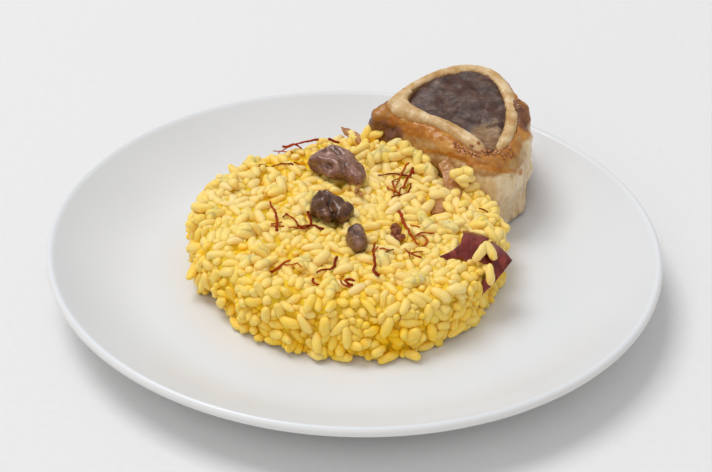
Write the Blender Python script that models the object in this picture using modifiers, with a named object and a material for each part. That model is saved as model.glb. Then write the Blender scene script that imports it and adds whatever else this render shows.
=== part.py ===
"""Saffron risotto with a slice of veal shank, served on a white coupe plate.

Units are metres and +Z is up. The origin is the centre of the plate, on the table.
The rice is a round cake shaped in a ring mould. The shank stands behind it on the right,
rests its foot on the plate and leans over the edge of the rice towards -Y.
"""

import math

import bmesh
import bpy
from mathutils import Euler, Matrix, Vector, noise

MM = 0.001
GAP = 0.3 * MM  # clearance between pieces that touch

# Plate
PLATE_RADIUS = 127 * MM
WELL_RADIUS = 88 * MM  # flat part of the upper surface
WELL_HEIGHT = 6.5 * MM
CREST_RADIUS = 124.9 * MM
CREST_HEIGHT = 24.3 * MM
WALL_POWER = 1.8  # how late the wall turns up
BODY_THICKNESS = 4.3 * MM
LIP_ROUNDING = 2.1 * MM
FOOT_OUTER = 83 * MM
FOOT_INNER = 78.5 * MM
FOOT_RECESS = 2.0 * MM
PLATE_STEPS = 60

# Rice cake
CAKE_CENTRE = (-2.5 * MM, 0.0)
CAKE_RADIUS = 64.8 * MM
CAKE_HEIGHT = 26.6 * MM
CAKE_SLOPE = 0.045  # the top rises towards +Y
CAKE_STEPS = 76
CAKE_SWELLS = (  # direction in degrees, height and half width in degrees of each swell of the edge
    (78, 4.2 * MM, 14),
    (-40, 3.4 * MM, 16),
    (0, 1.0 * MM, 20),
    (125, -2.6 * MM, 22),
    (170, 2.4 * MM, 22),
    (-145, -1.4 * MM, 18),
)
CAKE_BANKS = (  # x, y, height and radius of each bank of rice heaped against the meat
    (12 * MM, 58 * MM, 8.0 * MM, 12 * MM),
    (28 * MM, 48 * MM, 5.0 * MM, 10 * MM),
)
CAKE_SIDE = (  # share of the height, and how far the side stands in from the widest line
    (0.0, 1.2 * MM),
    (0.05, 0.4 * MM),
    (0.18, 0.2 * MM),
    (0.35, 0.0),
    (0.52, 0.0),
    (0.68, 0.2 * MM),
    (0.81, 0.9 * MM),
    (0.91, 2.2 * MM),
    (0.98, 4.6 * MM),
)
CAKE_TOP_RINGS = (0.85, 0.72, 0.57, 0.42, 0.26, 0.1)  # shares of the edge's radius
GRAIN_RELIEF = 0.9 * MM
GRAIN_SIZE = 7 * MM

# Veal shank: outlines in the plane of the cut face, x to the right and y up its slope
FACE_CENTRE = Vector((44.4, 54.4, 53.7)) * MM
FACE_TILT = math.radians(17)
FOOT_CENTRE = Vector((48, 62.5, 0)) * MM
SHANK_STEPS = 38
BONE_OUTLINE = (
    (-32.6, 3), (-25, 14.5), (-10, 26), (4, 30.0), (16.5, 25.8), (23.2, 12),
    (24.2, -3), (19.5, -17.5), (11, -23.4), (3, -19.5), (-8, -9), (-22, -3.4),
)
MARROW_OUTLINE = (
    (-23.6, 6.5), (-17.5, 16), (-7, 22), (4, 25), (13, 21.6), (18.6, 10),
    (19.2, -4), (16, -15), (11, -19.6), (5, -13.8), (-5, -6), (-16, -0.5),
)
RIM_ROUNDING = 1.3 * MM
MARROW_DEPTH = 3.4 * MM
MARROW_SLOPE = 0.05  # its top sinks towards -Y
MEAT_WALL = 7.4 * MM
MEAT_WALL_SWING = 2.8 * MM  # thicker towards the rice, thinner away from it
THICK_SIDE = math.radians(205)
RIM_DROP = 1.6 * MM  # the meat's upper edge lies this far under the bone's face
SHOULDER_DROP = (6, 11, 15, 18, 19, 6, 7, 9)  # in mm, every 45 degrees round from +X
SHOULDER_CURVE = (2.0, 1.6, 1.3, 1.1, 1.0, 2.2, 2.4, 2.2)  # the same way round: 1 is a straight slope
MEAT_RELIEF = 1.1 * MM

# Toppings on the rice: outlines in plan round each piece's own centre, in mm
TOPPING_STEPS = 18
MARROW_PIECES = (  # name, place on the rice, height, turn in degrees, outline
    ("marrow_piece_1", (-8.6, 34.0), 8.0, 0, (
        (-12.8, 0), (-12, 5.5), (-7, 9.5), (-3, 12.5), (2, 9.5), (7, 6.5), (11.5, -3),
        (13, -9), (9, -13), (3, -8.5), (-4, -7.5), (-9, -3.5))),
    ("marrow_piece_2", (-9.8, 2.0), 7.5, 0, (
        (-9, -0.5), (-8, 6.5), (-5, 9.5), (-0.5, 5.5), (5, 3), (9.2, -0.5), (7, -5.5),
        (2, -8), (-3.5, -8.5), (-6.5, -4.5))),
    ("marrow_piece_3", (0.4, -18.4), 6.5, 8, (
        (-4.2, 2.5), (-1.8, 6.4), (2.4, 5.8), (4.0, 1), (3.8, -4), (0.8, -6.8),
        (-2.2, -4.5), (-2.9, -1))),
)
MEAT_BITS = (  # name, centre, turn about X, Y and Z in degrees, thickness, outline
    ("meat_bit_1", (-1.5, 58.6, 37.4), (14, 0, -52), 3.2, (
        (-9, -0.5), (-5, 2.2), (1, 2.4), (7, 2.0), (9.6, 0), (6, -2.2), (-1, -2.0), (-6, -2.2))),
    ("meat_bit_2", (33.9, 10.9, 34.0), (10, -4, 8), 3.6, (
        (-5.6, -5), (-6, 2.5), (-2, 6.8), (4, 5.5), (6.2, 0), (4, -6), (-1, -6.8))),
    ("meat_bit_3", (40.3, 25.0, 36.2), (20, -8, -60), 3.0, (
        (-12.5, 1.0), (-4, 3.8), (2, 3.6), (8, 4.2), (10.5, 0.5), (7, -3.4), (0, -2.6), (-6, -2.8))),
)
RED_SLIPS = (
    ("red_slip_1", (45.9, -20.5, 33.2), (10, 6, 0), 2.2, (
        (-1.4, 9.6), (1.8, 9.4), (7.2, 3.2), (4.8, -0.6), (2.6, -4.6), (0.4, -8.6),
        (-3.0, -7.0), (-10.4, -8.4), (-9.6, -6.4), (-4.0, -2.6), (-2.2, 3.6))),
    ("red_slip_2", (56.6, -26.1, 29.9), (26, 24, 0), 2.2, (
        (-1.2, 11.0), (6.0, 3.2), (4.2, -2.6), (1.8, -9.4), (-1.4, -12.0), (-2.6, -9.0),
        (-1.6, -3.4), (-7.2, -2.4), (-6.0, 2.4), (-4.0, 8.0))),
)


def blend(start, end, share):
    return start + (end - start) * share


def well_top(radius):
    """Height of the plate's upper surface at a distance from its axis."""
    climb = max(0.0, (radius - WELL_RADIUS) / (CREST_RADIUS - WELL_RADIUS))
    return WELL_HEIGHT + (CREST_HEIGHT - WELL_HEIGHT) * climb**WALL_POWER


def seat(x, y):
    """Height at which a piece rests on the plate."""
    return well_top(math.hypot(x, y)) + GAP


def cake_edge(angle):
    """Distance of the cake's widest line from its centre, in a direction."""
    edge = CAKE_RADIUS
    for direction, height, width in CAKE_SWELLS:
        away = (math.degrees(angle) - direction + 180) % 360 - 180
        edge += height * math.exp(-((away / width) ** 2))
    return edge


def cake_top(x, y):
    """Height of the rice at a place: a gently sloping top, banked up against the meat."""
    top = WELL_HEIGHT + CAKE_HEIGHT + CAKE_SLOPE * y
    for bank_x, bank_y, height, radius in CAKE_BANKS:
        away = math.hypot(x - bank_x, y - bank_y) / radius
        top += height * math.exp(-(away**2))
    return top


def grain_relief(point):
    return GRAIN_RELIEF * noise.noise(point / GRAIN_SIZE)


def smooth_outline(corners, count):
    """A closed smooth curve through the corners (in mm), as points evenly spaced along it."""
    fine = []
    size = len(corners)
    for index in range(size):
        before, start, end, after = (Vector(corners[(index + k) % size]) * MM for k in (-1, 0, 1, 2))
        for step in range(12):
            t = step / 12
            fine.append(0.5 * (
                2 * start + (end - before) * t
                + (2 * before - 5 * start + 4 * end - after) * t**2
                + (3 * start - before - 3 * end + after) * t**3))
    lengths = [0.0]
    for index, point in enumerate(fine):
        lengths.append(lengths[-1] + (fine[(index + 1) % len(fine)] - point).length)
    points = []
    segment = 0
    for index in range(count):
        wanted = lengths[-1] * index / count
        while lengths[segment + 1] < wanted:
            segment += 1
        share = (wanted - lengths[segment]) / (lengths[segment + 1] - lengths[segment])
        points.append(fine[segment].lerp(fine[(segment + 1) % len(fine)], share))
    return points


def outward(points, index):
    """Unit normal of a closed outline that runs clockwise, at one of its points."""
    along = points[(index + 1) % len(points)] - points[index - 1]
    return Vector((-along.y, along.x)).normalized()


def grown(points, distance):
    return [point + outward(points, index) * distance for index, point in enumerate(points)]


def loft(name, rings, material, closed=False):
    """A solid through rings of points. It is capped, or closed runs the last ring into the first."""
    bm = bmesh.new()
    layers = [[bm.verts.new(point) for point in ring] for ring in rings]
    pairs = list(zip(layers, layers[1:]))
    if closed:
        pairs.append((layers[-1], layers[0]))
    for lower, upper in pairs:
        for index in range(len(lower)):
            after = (index + 1) % len(lower)
            bm.faces.new((lower[index], lower[after], upper[after], upper[index]))
    if not closed:
        bm.faces.new(layers[0][::-1])
        bm.faces.new(layers[-1])
    bmesh.ops.triangulate(bm, faces=bm.faces)
    bmesh.ops.recalc_face_normals(bm, faces=bm.faces)
    mesh = bpy.data.meshes.new(name)
    bm.to_mesh(mesh)
    bm.free()
    mesh.shade_smooth()
    mesh.materials.append(material)
    piece = bpy.data.objects.new(name, mesh)
    parts.objects.link(piece)
    return piece


def simple_material(name, colour, roughness):
    material = bpy.data.materials.new(name)
    material.use_nodes = True
    shader = material.node_tree.nodes["Principled BSDF"]
    shader.inputs["Base Color"].default_value = (*colour, 1.0)
    shader.inputs["Roughness"].default_value = roughness
    shader.inputs["Metallic"].default_value = 0.0
    material.diffuse_color = (*colour, 1.0)
    return material


def make_plate():
    """A coupe plate: flat well, wall that turns up to a rounded lip, low foot ring underneath."""
    profile = [Vector((0, 0, WELL_HEIGHT))]
    wall_steps = 7
    for step in range(wall_steps + 1):
        radius = blend(WELL_RADIUS, CREST_RADIUS, step / wall_steps)
        profile.append(Vector((radius, 0, well_top(radius))))
    lip_radius = PLATE_RADIUS - LIP_ROUNDING
    lip_height = CREST_HEIGHT - LIP_ROUNDING
    for degrees in (60, 25, -10, -50):
        turn = math.radians(degrees)
        profile.append(Vector((
            lip_radius + LIP_ROUNDING * math.cos(turn), 0, lip_height + LIP_ROUNDING * math.sin(turn))))
    for step in range(wall_steps - 1, 0, -1):
        radius = blend(FOOT_OUTER + 3 * MM, CREST_RADIUS, step / wall_steps)
        profile.append(Vector((radius, 0, well_top(radius) - BODY_THICKNESS)))
    for radius, height in (
        (FOOT_OUTER + 1.4 * MM, WELL_HEIGHT - BODY_THICKNESS),
        (FOOT_OUTER, 0.5 * MM),
        (FOOT_OUTER - 0.6 * MM, 0),
        (FOOT_INNER + 0.4 * MM, 0),
        (FOOT_INNER, 0.4 * MM),
        (FOOT_INNER - 0.6 * MM, FOOT_RECESS),
        (0, FOOT_RECESS),
    ):
        profile.append(Vector((radius, 0, height)))
    mesh = bpy.data.meshes.new("plate")
    mesh.from_pydata(profile, [(index, index + 1) for index in range(len(profile) - 1)], [])
    mesh.materials.append(simple_material("white porcelain", (0.83, 0.83, 0.82), 0.18))
    plate = bpy.data.objects.new("plate", mesh)
    parts.objects.link(plate)
    turn = plate.modifiers.new("turn", "SCREW")
    turn.angle = math.tau
    turn.steps = PLATE_STEPS
    turn.render_steps = PLATE_STEPS
    turn.use_merge_vertices = True
    turn.merge_threshold = 0.00001
    turn.use_smooth_shade = True
    return plate


def cake_ring(inset, share):
    """One level ring of the cake's side, at a share of its height."""
    ring = []
    for step in range(CAKE_STEPS):
        angle = math.tau * step / CAKE_STEPS
        heading = Vector((math.cos(angle), math.sin(angle), 0))
        middle = Vector((*CAKE_CENTRE, 0))
        point = middle + heading * (cake_edge(angle) - inset)
        point.z = blend(WELL_HEIGHT + GAP, cake_top(point.x, point.y), share)
        if share > 0:
            point += heading * grain_relief(point)
        ring.append(point)
    return ring


def cake_top_ring(share):
    """One ring across the cake's top, at a share of the edge's radius."""
    ring = []
    for step in range(CAKE_STEPS):
        angle = math.tau * step / CAKE_STEPS
        reach = cake_edge(angle) * share
        x = CAKE_CENTRE[0] + reach * math.cos(angle)
        y = CAKE_CENTRE[1] + reach * math.sin(angle)
        point = Vector((x, y, cake_top(x, y)))
        point.z += grain_relief(point)
        ring.append(point)
    return ring


def make_risotto():
    rings = [cake_ring(inset, share) for share, inset in CAKE_SIDE]
    rings += [cake_top_ring(share) for share in CAKE_TOP_RINGS]
    return loft("risotto", rings, simple_material("saffron rice", (0.86, 0.66, 0.13), 0.35))


def shank_point(flat, level):
    """A point of the shank: level 0 is its foot on the plate, level 1 the plane of its cut face."""
    foot = Vector((FOOT_CENTRE.x + flat.x, FOOT_CENTRE.y + flat.y, 0))
    foot.z = seat(foot.x, foot.y)
    slope = Vector((0, math.cos(FACE_TILT), math.sin(FACE_TILT)))
    face = FACE_CENTRE + Vector((flat.x, 0, 0)) + slope * flat.y
    return foot.lerp(face, level)


def below_face(drop):
    """The level that lies this far under the cut face."""
    return 1 - drop / (FACE_CENTRE.z - WELL_HEIGHT)


def shank_ring(points, level):
    return [shank_point(point, level) for point in points]


def make_bone(outer, inner):
    """The leg bone: a tube of rounded triangle section, with a softly rounded sawn rim."""
    rounding = RIM_ROUNDING
    rings = [shank_ring(outer, level) for level in (0.0, 0.5, below_face(3 * MM))]
    rings += [
        shank_ring(grown(outer, -0.25 * rounding), below_face(0.9 * rounding)),
        shank_ring(grown(outer, -0.9 * rounding), below_face(0.25 * rounding)),
        shank_ring(grown(outer, -1.5 * rounding), below_face(0)),
        shank_ring(grown(inner, 0.8 * rounding), below_face(0)),
        shank_ring(grown(inner, 0.25 * rounding), below_face(0.35 * rounding)),
        shank_ring(inner, below_face(rounding)),
    ]
    rings += [shank_ring(inner, level) for level in (0.5, 0.0)]
    return loft("shank_bone", rings, simple_material("bone", (0.80, 0.66, 0.43), 0.45), closed=True)


def make_marrow(inner):
    """Marrow fills the bone from the foot to a little under its rim, with an uneven top."""
    wall = grown(inner, -GAP)
    centre = sum(wall, Vector((0, 0))) / len(wall)
    rings = [shank_ring(wall, level) for level in (0.0, 0.5, below_face(MARROW_DEPTH + 1 * MM))]
    for share in (0.9, 0.7, 0.45, 0.2):
        ring = []
        for point in wall:
            flat = centre.lerp(point, share)
            bump = 0.8 * MM * noise.noise(Vector((flat.x, flat.y, 0)) / (6 * MM))
            ring.append(shank_point(flat, below_face(MARROW_DEPTH - MARROW_SLOPE * flat.y - bump)))
        rings.append(ring)
    return loft("shank_marrow", rings, simple_material("cooked marrow", (0.09, 0.05, 0.045), 0.4))


def round_the_shank(values, angle):
    """Reads values that are given every 45 degrees, smoothly between them."""
    place = angle / math.tau * len(values) % len(values)
    index = int(place)
    share = place - index
    ease = share * share * (3 - 2 * share)
    return blend(values[index], values[(index + 1) % len(values)], ease)


def meat_wall(angle):
    return MEAT_WALL + MEAT_WALL_SWING * math.cos(angle - THICK_SIDE)


def meat_ring(outer, wall_share, shoulder_share, height_share):
    """One ring of the meat's outside, by its share of the wall, of the way over the shoulder and of the height."""
    ring = []
    for index, point in enumerate(outer):
        angle = math.atan2(point.y, point.x) % math.tau
        drop = RIM_DROP
        if shoulder_share > 0:
            curve = round_the_shank(SHOULDER_CURVE, angle)
            drop += round_the_shank(SHOULDER_DROP, angle) * MM * shoulder_share**curve
        level = below_face(drop) * height_share
        wall = blend(GAP, meat_wall(angle), wall_share)
        place = shank_point(point + outward(outer, index) * wall, level)
        wall += MEAT_RELIEF * wall_share * noise.noise(place / (13 * MM))
        ring.append(shank_point(point + outward(outer, index) * wall, level))
    return ring


def make_meat(outer):
    """The collar of meat round the bone: seared shoulder at the top, and a foot that follows the plate."""
    rings = [
        meat_ring(outer, 0.9, 1, 0.0),
        meat_ring(outer, 1.05, 1, 0.06),
        meat_ring(outer, 1.15, 1, 0.2),
        meat_ring(outer, 1.25, 1, 0.45),
        meat_ring(outer, 1.2, 1, 0.72),
        meat_ring(outer, 1.1, 1, 0.9),
    ]
    rings += [meat_ring(outer, share, share, 1) for share in (1.0, 0.9, 0.65, 0.33, 0.0)]
    hole = grown(outer, GAP)
    rings += [shank_ring(hole, level) for level in (0.5, 0.0)]
    return loft("shank_meat", rings, simple_material("braised veal", (0.50, 0.28, 0.11), 0.35), closed=True)


def make_marrow_piece(name, place, height, turn, corners, material):
    """A glossy lump of marrow, pressed lightly into the top of the rice."""
    outline = smooth_outline(corners, TOPPING_STEPS)
    spin = Matrix.Rotation(math.radians(turn), 2)
    centre = Vector(place) * MM
    low = cake_top(centre.x, centre.y) - 2.2 * MM
    rings = []
    for degrees in (-66, -36, -6, 26, 64):
        swing = math.radians(degrees)
        ring = []
        for point in outline:
            flat = centre + spin @ point * math.cos(swing) ** 0.55
            level = low + height * MM * (0.5 + 0.5 * math.sin(swing))
            bump = 0.9 * MM * noise.noise(Vector((flat.x, flat.y, level)) / (5 * MM))
            ring.append(Vector((flat.x, flat.y, level + bump)))
        rings.append(ring)
    return loft(name, rings, material)


def make_slice(name, centre, turn, thickness, corners, material):
    """A flat scrap with rounded edges, laid on the rice."""
    outline = smooth_outline(corners, TOPPING_STEPS)
    half = thickness * MM / 2
    to_world = Matrix.LocRotScale(
        Vector(centre) * MM, Euler([math.radians(angle) for angle in turn]), None)
    rings = []
    for inset, height in ((0.3, -1), (0.05, -0.6), (0.05, 0.6), (0.3, 1)):
        ring = [to_world @ Vector((*point, height * half)) for point in grown(outline, -inset * half)]
        rings.append(ring)
    return loft(name, rings, material)


def clear_of(cake, piece):
    """Cuts the room that a piece needs, with a little clearance, out of the rice."""
    cutter = piece.copy()
    cutter.data = piece.data.copy()
    cutter.name = "room_for_" + piece.name
    for vertex, normal in zip(cutter.data.vertices, [v.normal.copy() for v in cutter.data.vertices]):
        vertex.co += normal * 1.5 * GAP
    cutters.objects.link(cutter)
    cutter.hide_render = True
    cutter.display_type = "WIRE"
    cut = cake.modifiers.new(cutter.name, "BOOLEAN")
    cut.operation = "DIFFERENCE"
    cut.solver = "EXACT"
    cut.object = cutter


for old in list(bpy.data.objects):
    bpy.data.objects.remove(old)

parts = bpy.data.collections.new("saffron_risotto")
cutters = bpy.data.collections.new("cutters")
bpy.context.scene.collection.children.link(parts)
bpy.context.scene.collection.children.link(cutters)
cutters.hide_render = True

make_plate()
risotto = make_risotto()
bone_outline = smooth_outline(BONE_OUTLINE, SHANK_STEPS)
marrow_outline = smooth_outline(MARROW_OUTLINE, SHANK_STEPS)
clear_of(risotto, make_bone(bone_outline, marrow_outline))
clear_of(risotto, make_marrow(marrow_outline))
clear_of(risotto, make_meat(bone_outline))

lump_material = simple_material("glossy marrow", (0.14, 0.08, 0.08), 0.25)
for piece_name, place, height, turn, corners in MARROW_PIECES:
    clear_of(risotto, make_marrow_piece(piece_name, place, height, turn, corners, lump_material))
pale_material = simple_material("pale veal", (0.50, 0.30, 0.19), 0.4)
for piece_name, centre, turn, thickness, corners in MEAT_BITS:
    clear_of(risotto, make_slice(piece_name, centre, turn, thickness, corners, pale_material))
red_material = simple_material("dark red skin", (0.13, 0.008, 0.014), 0.3)
for piece_name, centre, turn, thickness, corners in RED_SLIPS:
    clear_of(risotto, make_slice(piece_name, centre, turn, thickness, corners, red_material))
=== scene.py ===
"""Saffron risotto with a slice of veal shank on a white coupe plate: its looks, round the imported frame.

Units are metres and +Z is up, as in the frame. Names that end in _mm are millimetres.
"""

import math

import bmesh
import bpy
import numpy as np
from mathutils import Euler, Matrix, Quaternion, Vector, kdtree, noise
from mathutils.bvhtree import BVHTree


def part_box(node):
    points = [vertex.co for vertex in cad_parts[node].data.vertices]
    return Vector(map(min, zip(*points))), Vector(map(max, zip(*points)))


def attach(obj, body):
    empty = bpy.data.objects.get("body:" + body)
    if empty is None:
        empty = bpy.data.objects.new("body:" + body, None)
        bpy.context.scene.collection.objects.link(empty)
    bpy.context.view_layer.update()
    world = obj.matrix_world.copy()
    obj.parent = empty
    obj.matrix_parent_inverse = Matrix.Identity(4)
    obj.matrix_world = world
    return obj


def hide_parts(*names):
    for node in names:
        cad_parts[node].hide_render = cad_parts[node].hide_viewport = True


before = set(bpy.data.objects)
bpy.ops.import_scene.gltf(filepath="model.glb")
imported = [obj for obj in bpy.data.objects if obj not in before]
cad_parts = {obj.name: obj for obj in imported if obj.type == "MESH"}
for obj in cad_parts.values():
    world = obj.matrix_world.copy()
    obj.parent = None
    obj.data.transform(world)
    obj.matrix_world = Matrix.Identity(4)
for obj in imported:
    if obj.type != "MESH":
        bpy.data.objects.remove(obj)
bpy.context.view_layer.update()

MM = 0.001
UP = Vector((0, 0, 1))

# Places that the shank's pieces are shaped by
FACE_CENTRE = Vector((44.4, 54.4, 53.7)) * MM
FACE_TILT = math.radians(17)
FACING = Vector((0, -math.sin(FACE_TILT), math.cos(FACE_TILT)))
SLOPE = Vector((0, math.cos(FACE_TILT), math.sin(FACE_TILT)))
SHANK_FOOT = Vector((48, 62.5, 7)) * MM

scene = bpy.context.scene
looks = bpy.data.collections.new("looks")
scene.collection.children.link(looks)


# ---------------------------------------------------------------- materials


class Finish:
    """A material in the making: its node tree, with short calls for the nodes that recur."""

    def __init__(self, name, **shader):
        self.material = bpy.data.materials.new(name)
        self.material.use_nodes = True
        self.nodes = self.material.node_tree.nodes
        self.links = self.material.node_tree.links
        self.shader = self.nodes["Principled BSDF"]
        self.place = self.nodes.new("ShaderNodeTexCoord").outputs["Object"]
        for socket, value in shader.items():
            self.shader.inputs[socket.replace("_", " ")].default_value = value

    def feed(self, socket, value):
        if isinstance(value, bpy.types.NodeSocket):
            self.links.new(value, socket)
        else:
            socket.default_value = value

    def stretched(self, x, y, z):
        """The object's coordinates, scaled along each axis."""
        mapping = self.nodes.new("ShaderNodeMapping")
        self.links.new(self.place, mapping.inputs["Vector"])
        mapping.inputs["Scale"].default_value = (x, y, z)
        return mapping.outputs["Vector"]

    def noise(self, size_mm, detail=3.0, rough=0.55, warp=0.0, place=None):
        made = self.nodes.new("ShaderNodeTexNoise")
        self.links.new(place or self.place, made.inputs["Vector"])
        made.inputs["Scale"].default_value = 1 / (size_mm * MM)
        made.inputs["Detail"].default_value = detail
        made.inputs["Roughness"].default_value = rough
        made.inputs["Distortion"].default_value = warp
        return made.outputs["Fac"]

    def cells(self, size_mm):
        made = self.nodes.new("ShaderNodeTexVoronoi")
        self.links.new(self.place, made.inputs["Vector"])
        made.inputs["Scale"].default_value = 1 / (size_mm * MM)
        return made.outputs["Distance"]

    def attribute(self, name):
        made = self.nodes.new("ShaderNodeAttribute")
        made.attribute_name = name
        return made.outputs["Fac"]

    def ramp(self, value, *stops):
        """A colour ramp; each stop is a position and a linear colour."""
        made = self.nodes.new("ShaderNodeValToRGB")
        self.feed(made.inputs["Fac"], value)
        elements = made.color_ramp.elements
        elements[0].position = stops[0][0]
        elements[1].position = stops[-1][0]
        for position, _ in stops[1:-1]:
            elements.new(position)
        for element, (_, colour) in zip(elements, stops):
            element.color = (*colour, 1.0)
        return made.outputs["Color"]

    def span(self, value, low, high, to_low=0.0, to_high=1.0):
        made = self.nodes.new("ShaderNodeMapRange")
        self.feed(made.inputs["Value"], value)
        for socket, number in zip(("From Min", "From Max", "To Min", "To Max"), (low, high, to_low, to_high)):
            made.inputs[socket].default_value = number
        return made.outputs["Result"]

    def sum(self, first, second, operation="ADD"):
        made = self.nodes.new("ShaderNodeMath")
        made.operation = operation
        self.feed(made.inputs[0], first)
        self.feed(made.inputs[1], second)
        return made.outputs["Value"]

    def mix(self, share, first, second):
        made = self.nodes.new("ShaderNodeMix")
        made.data_type = "RGBA"
        self.feed(made.inputs["Factor"], share)
        for socket, colour in ((made.inputs["A"], first), (made.inputs["B"], second)):
            sockets = [s for s in made.inputs if s.name == socket.name and s.type == "RGBA"]
            self.feed(sockets[0], (*colour, 1.0) if isinstance(colour, tuple) else colour)
        return [s for s in made.outputs if s.type == "RGBA"][0]

    def bump(self, *layers):
        """Relief from pairs of a height and its depth in mm."""
        last = None
        for height, depth_mm in layers:
            made = self.nodes.new("ShaderNodeBump")
            made.inputs["Strength"].default_value = 1.0
            made.inputs["Distance"].default_value = depth_mm * MM
            self.links.new(height, made.inputs["Height"])
            if last:
                self.links.new(last, made.inputs["Normal"])
            last = made.outputs["Normal"]
        self.links.new(last, self.shader.inputs["Normal"])

    def colour(self, socket):
        self.links.new(socket, self.shader.inputs["Base Color"])
        return self.material

    def roughness(self, socket):
        self.links.new(socket, self.shader.inputs["Roughness"])


def porcelain_glaze():
    glaze = Finish(
        "porcelain glaze", Roughness=0.3, Specular_IOR_Level=0.45, Coat_Weight=0.15, Coat_Roughness=0.12)
    cloud = glaze.noise(40, 1)
    glaze.roughness(glaze.span(glaze.noise(14, 1), 0.3, 0.7, 0.3, 0.38))
    glaze.bump((cloud, 0.1))
    # Painted light: upward faces inside the rim are tinted cooler to cancel the yellow light bounced from the
    # rice, and the underside and outer lip warmer, as warm painted shade under the rim.
    under = glaze.ramp(cloud, (0.3, (0.765, 0.76, 0.75)), (0.7, (0.785, 0.78, 0.77)))
    upper = glaze.ramp(cloud, (0.3, (0.745, 0.765, 0.79)), (0.7, (0.765, 0.785, 0.81)))
    return glaze.colour(glaze.mix(glaze.attribute("upper"), under, upper))


def cooked_rice():
    rice = Finish(
        "saffron rice", Specular_IOR_Level=0.25, Subsurface_Weight=0.5, Subsurface_Scale=0.0012)
    rice.shader.inputs["Subsurface Radius"].default_value = (1.0, 1.0, 0.6)
    tint = rice.attribute("tint")
    patch = rice.noise(1.9, 2)
    soak = rice.noise(16, 2)
    # High tints are paler; make_rice gives them to grains high on the heap as a painted sheen.
    body = rice.ramp(
        tint,
        (0.0, (0.99, 0.615, 0.04)),
        (0.35, (0.985, 0.67, 0.115)),
        (0.7, (0.975, 0.71, 0.215)),
        (1.0, (0.965, 0.735, 0.335)))
    pale = rice.mix(rice.span(patch, 0.45, 0.75, 0.0, 0.35), body, (0.965, 0.74, 0.37))
    soaked = rice.mix(rice.span(soak, 0.5, 0.72, 0.0, 0.25), pale, (1.0, 0.62, 0.04))
    # Painted shade: the deeper a point lies in the heap, the deeper and more saturated its orange, standing
    # in for the shaded gaps between grains.
    deep = rice.mix(rice.span(rice.attribute("depth"), 0.7, 3.4, 0.0, 0.95), soaked, (1.0, 0.605, 0.006))
    rice.roughness(rice.span(patch, 0.3, 0.7, 0.3, 0.46))
    rice.bump((rice.noise(1.1, 2), 0.09), (rice.noise(0.35, 2), 0.018))
    return rice.colour(deep)


def saffron_cream():
    cream = Finish(
        "saffron cream", Roughness=0.4, Specular_IOR_Level=0.2, Subsurface_Weight=1.0, Subsurface_Scale=0.002)
    cream.shader.inputs["Subsurface Radius"].default_value = (1.0, 1.0, 0.4)
    lump = cream.cells(4.2)
    cream.bump((cream.span(lump, 0.0, 0.8, 1.0, 0.0), 1.0), (cream.noise(1.2, 3), 0.15))
    return cream.colour(cream.ramp(
        cream.noise(5, 3), (0.3, (1.0, 0.575, 0.008)), (0.7, (1.0, 0.635, 0.03))))


def sawn_bone():
    bone = Finish("sawn bone", Specular_IOR_Level=0.4, Coat_Weight=0.15, Coat_Roughness=0.2)
    stain = bone.attribute("stain")
    pores = bone.cells(0.75)
    streak = bone.noise(1.6, 4, place=bone.stretched(1, 1, 0.25))
    clean = bone.ramp(
        bone.noise(6, 4, 0.6),
        (0.34, (0.47, 0.25, 0.07)), (0.5, (0.61, 0.39, 0.165)), (0.66, (0.78, 0.60, 0.36)))
    worn = bone.mix(bone.span(streak, 0.45, 0.7, 0.0, 0.4), clean, (0.60, 0.35, 0.15))
    brown = bone.ramp(bone.noise(2.2, 3), (0.3, (0.16, 0.065, 0.022)), (0.7, (0.42, 0.21, 0.075)))
    edge = bone.span(bone.sum(stain, bone.span(streak, 0.3, 0.7, -0.3, 0.3)), 0.35, 0.7)
    bone.roughness(bone.span(streak, 0.3, 0.7, 0.3, 0.5))
    bone.bump((bone.span(pores, 0.0, 0.5), 0.05), (streak, 0.12))
    return bone.colour(bone.mix(edge, worn, brown))


def marrow_flesh():
    marrow = Finish("cooked marrow", Specular_IOR_Level=0.25, Coat_Weight=0.06, Coat_Roughness=0.2)
    pale = marrow.attribute("pale")
    sponge = marrow.noise(3.6, 5, 0.55, 0.3, place=marrow.stretched(0.7, 1.1, 1))
    fine = marrow.noise(0.8, 3)
    patch = marrow.noise(7, 3, 0.5, 0.3)
    brown = marrow.ramp(
        sponge, (0.3, (0.040, 0.015, 0.010)), (0.5, (0.085, 0.037, 0.025)), (0.72, (0.17, 0.095, 0.065)))
    grey = marrow.ramp(
        sponge, (0.3, (0.045, 0.028, 0.026)), (0.5, (0.095, 0.060, 0.050)), (0.72, (0.19, 0.135, 0.115)))
    dark = marrow.mix(marrow.span(patch, 0.42, 0.58), brown, grey)
    light = marrow.ramp(
        sponge, (0.3, (0.17, 0.085, 0.035)), (0.5, (0.29, 0.17, 0.085)), (0.7, (0.43, 0.29, 0.16)))
    marrow.roughness(marrow.span(fine, 0.3, 0.7, 0.3, 0.6))
    marrow.bump((sponge, 0.3), (fine, 0.1))
    share = marrow.span(marrow.sum(pale, marrow.span(sponge, 0.3, 0.7, -0.3, 0.3)), 0.3, 0.8)
    return marrow.colour(marrow.mix(share, dark, light))


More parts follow.
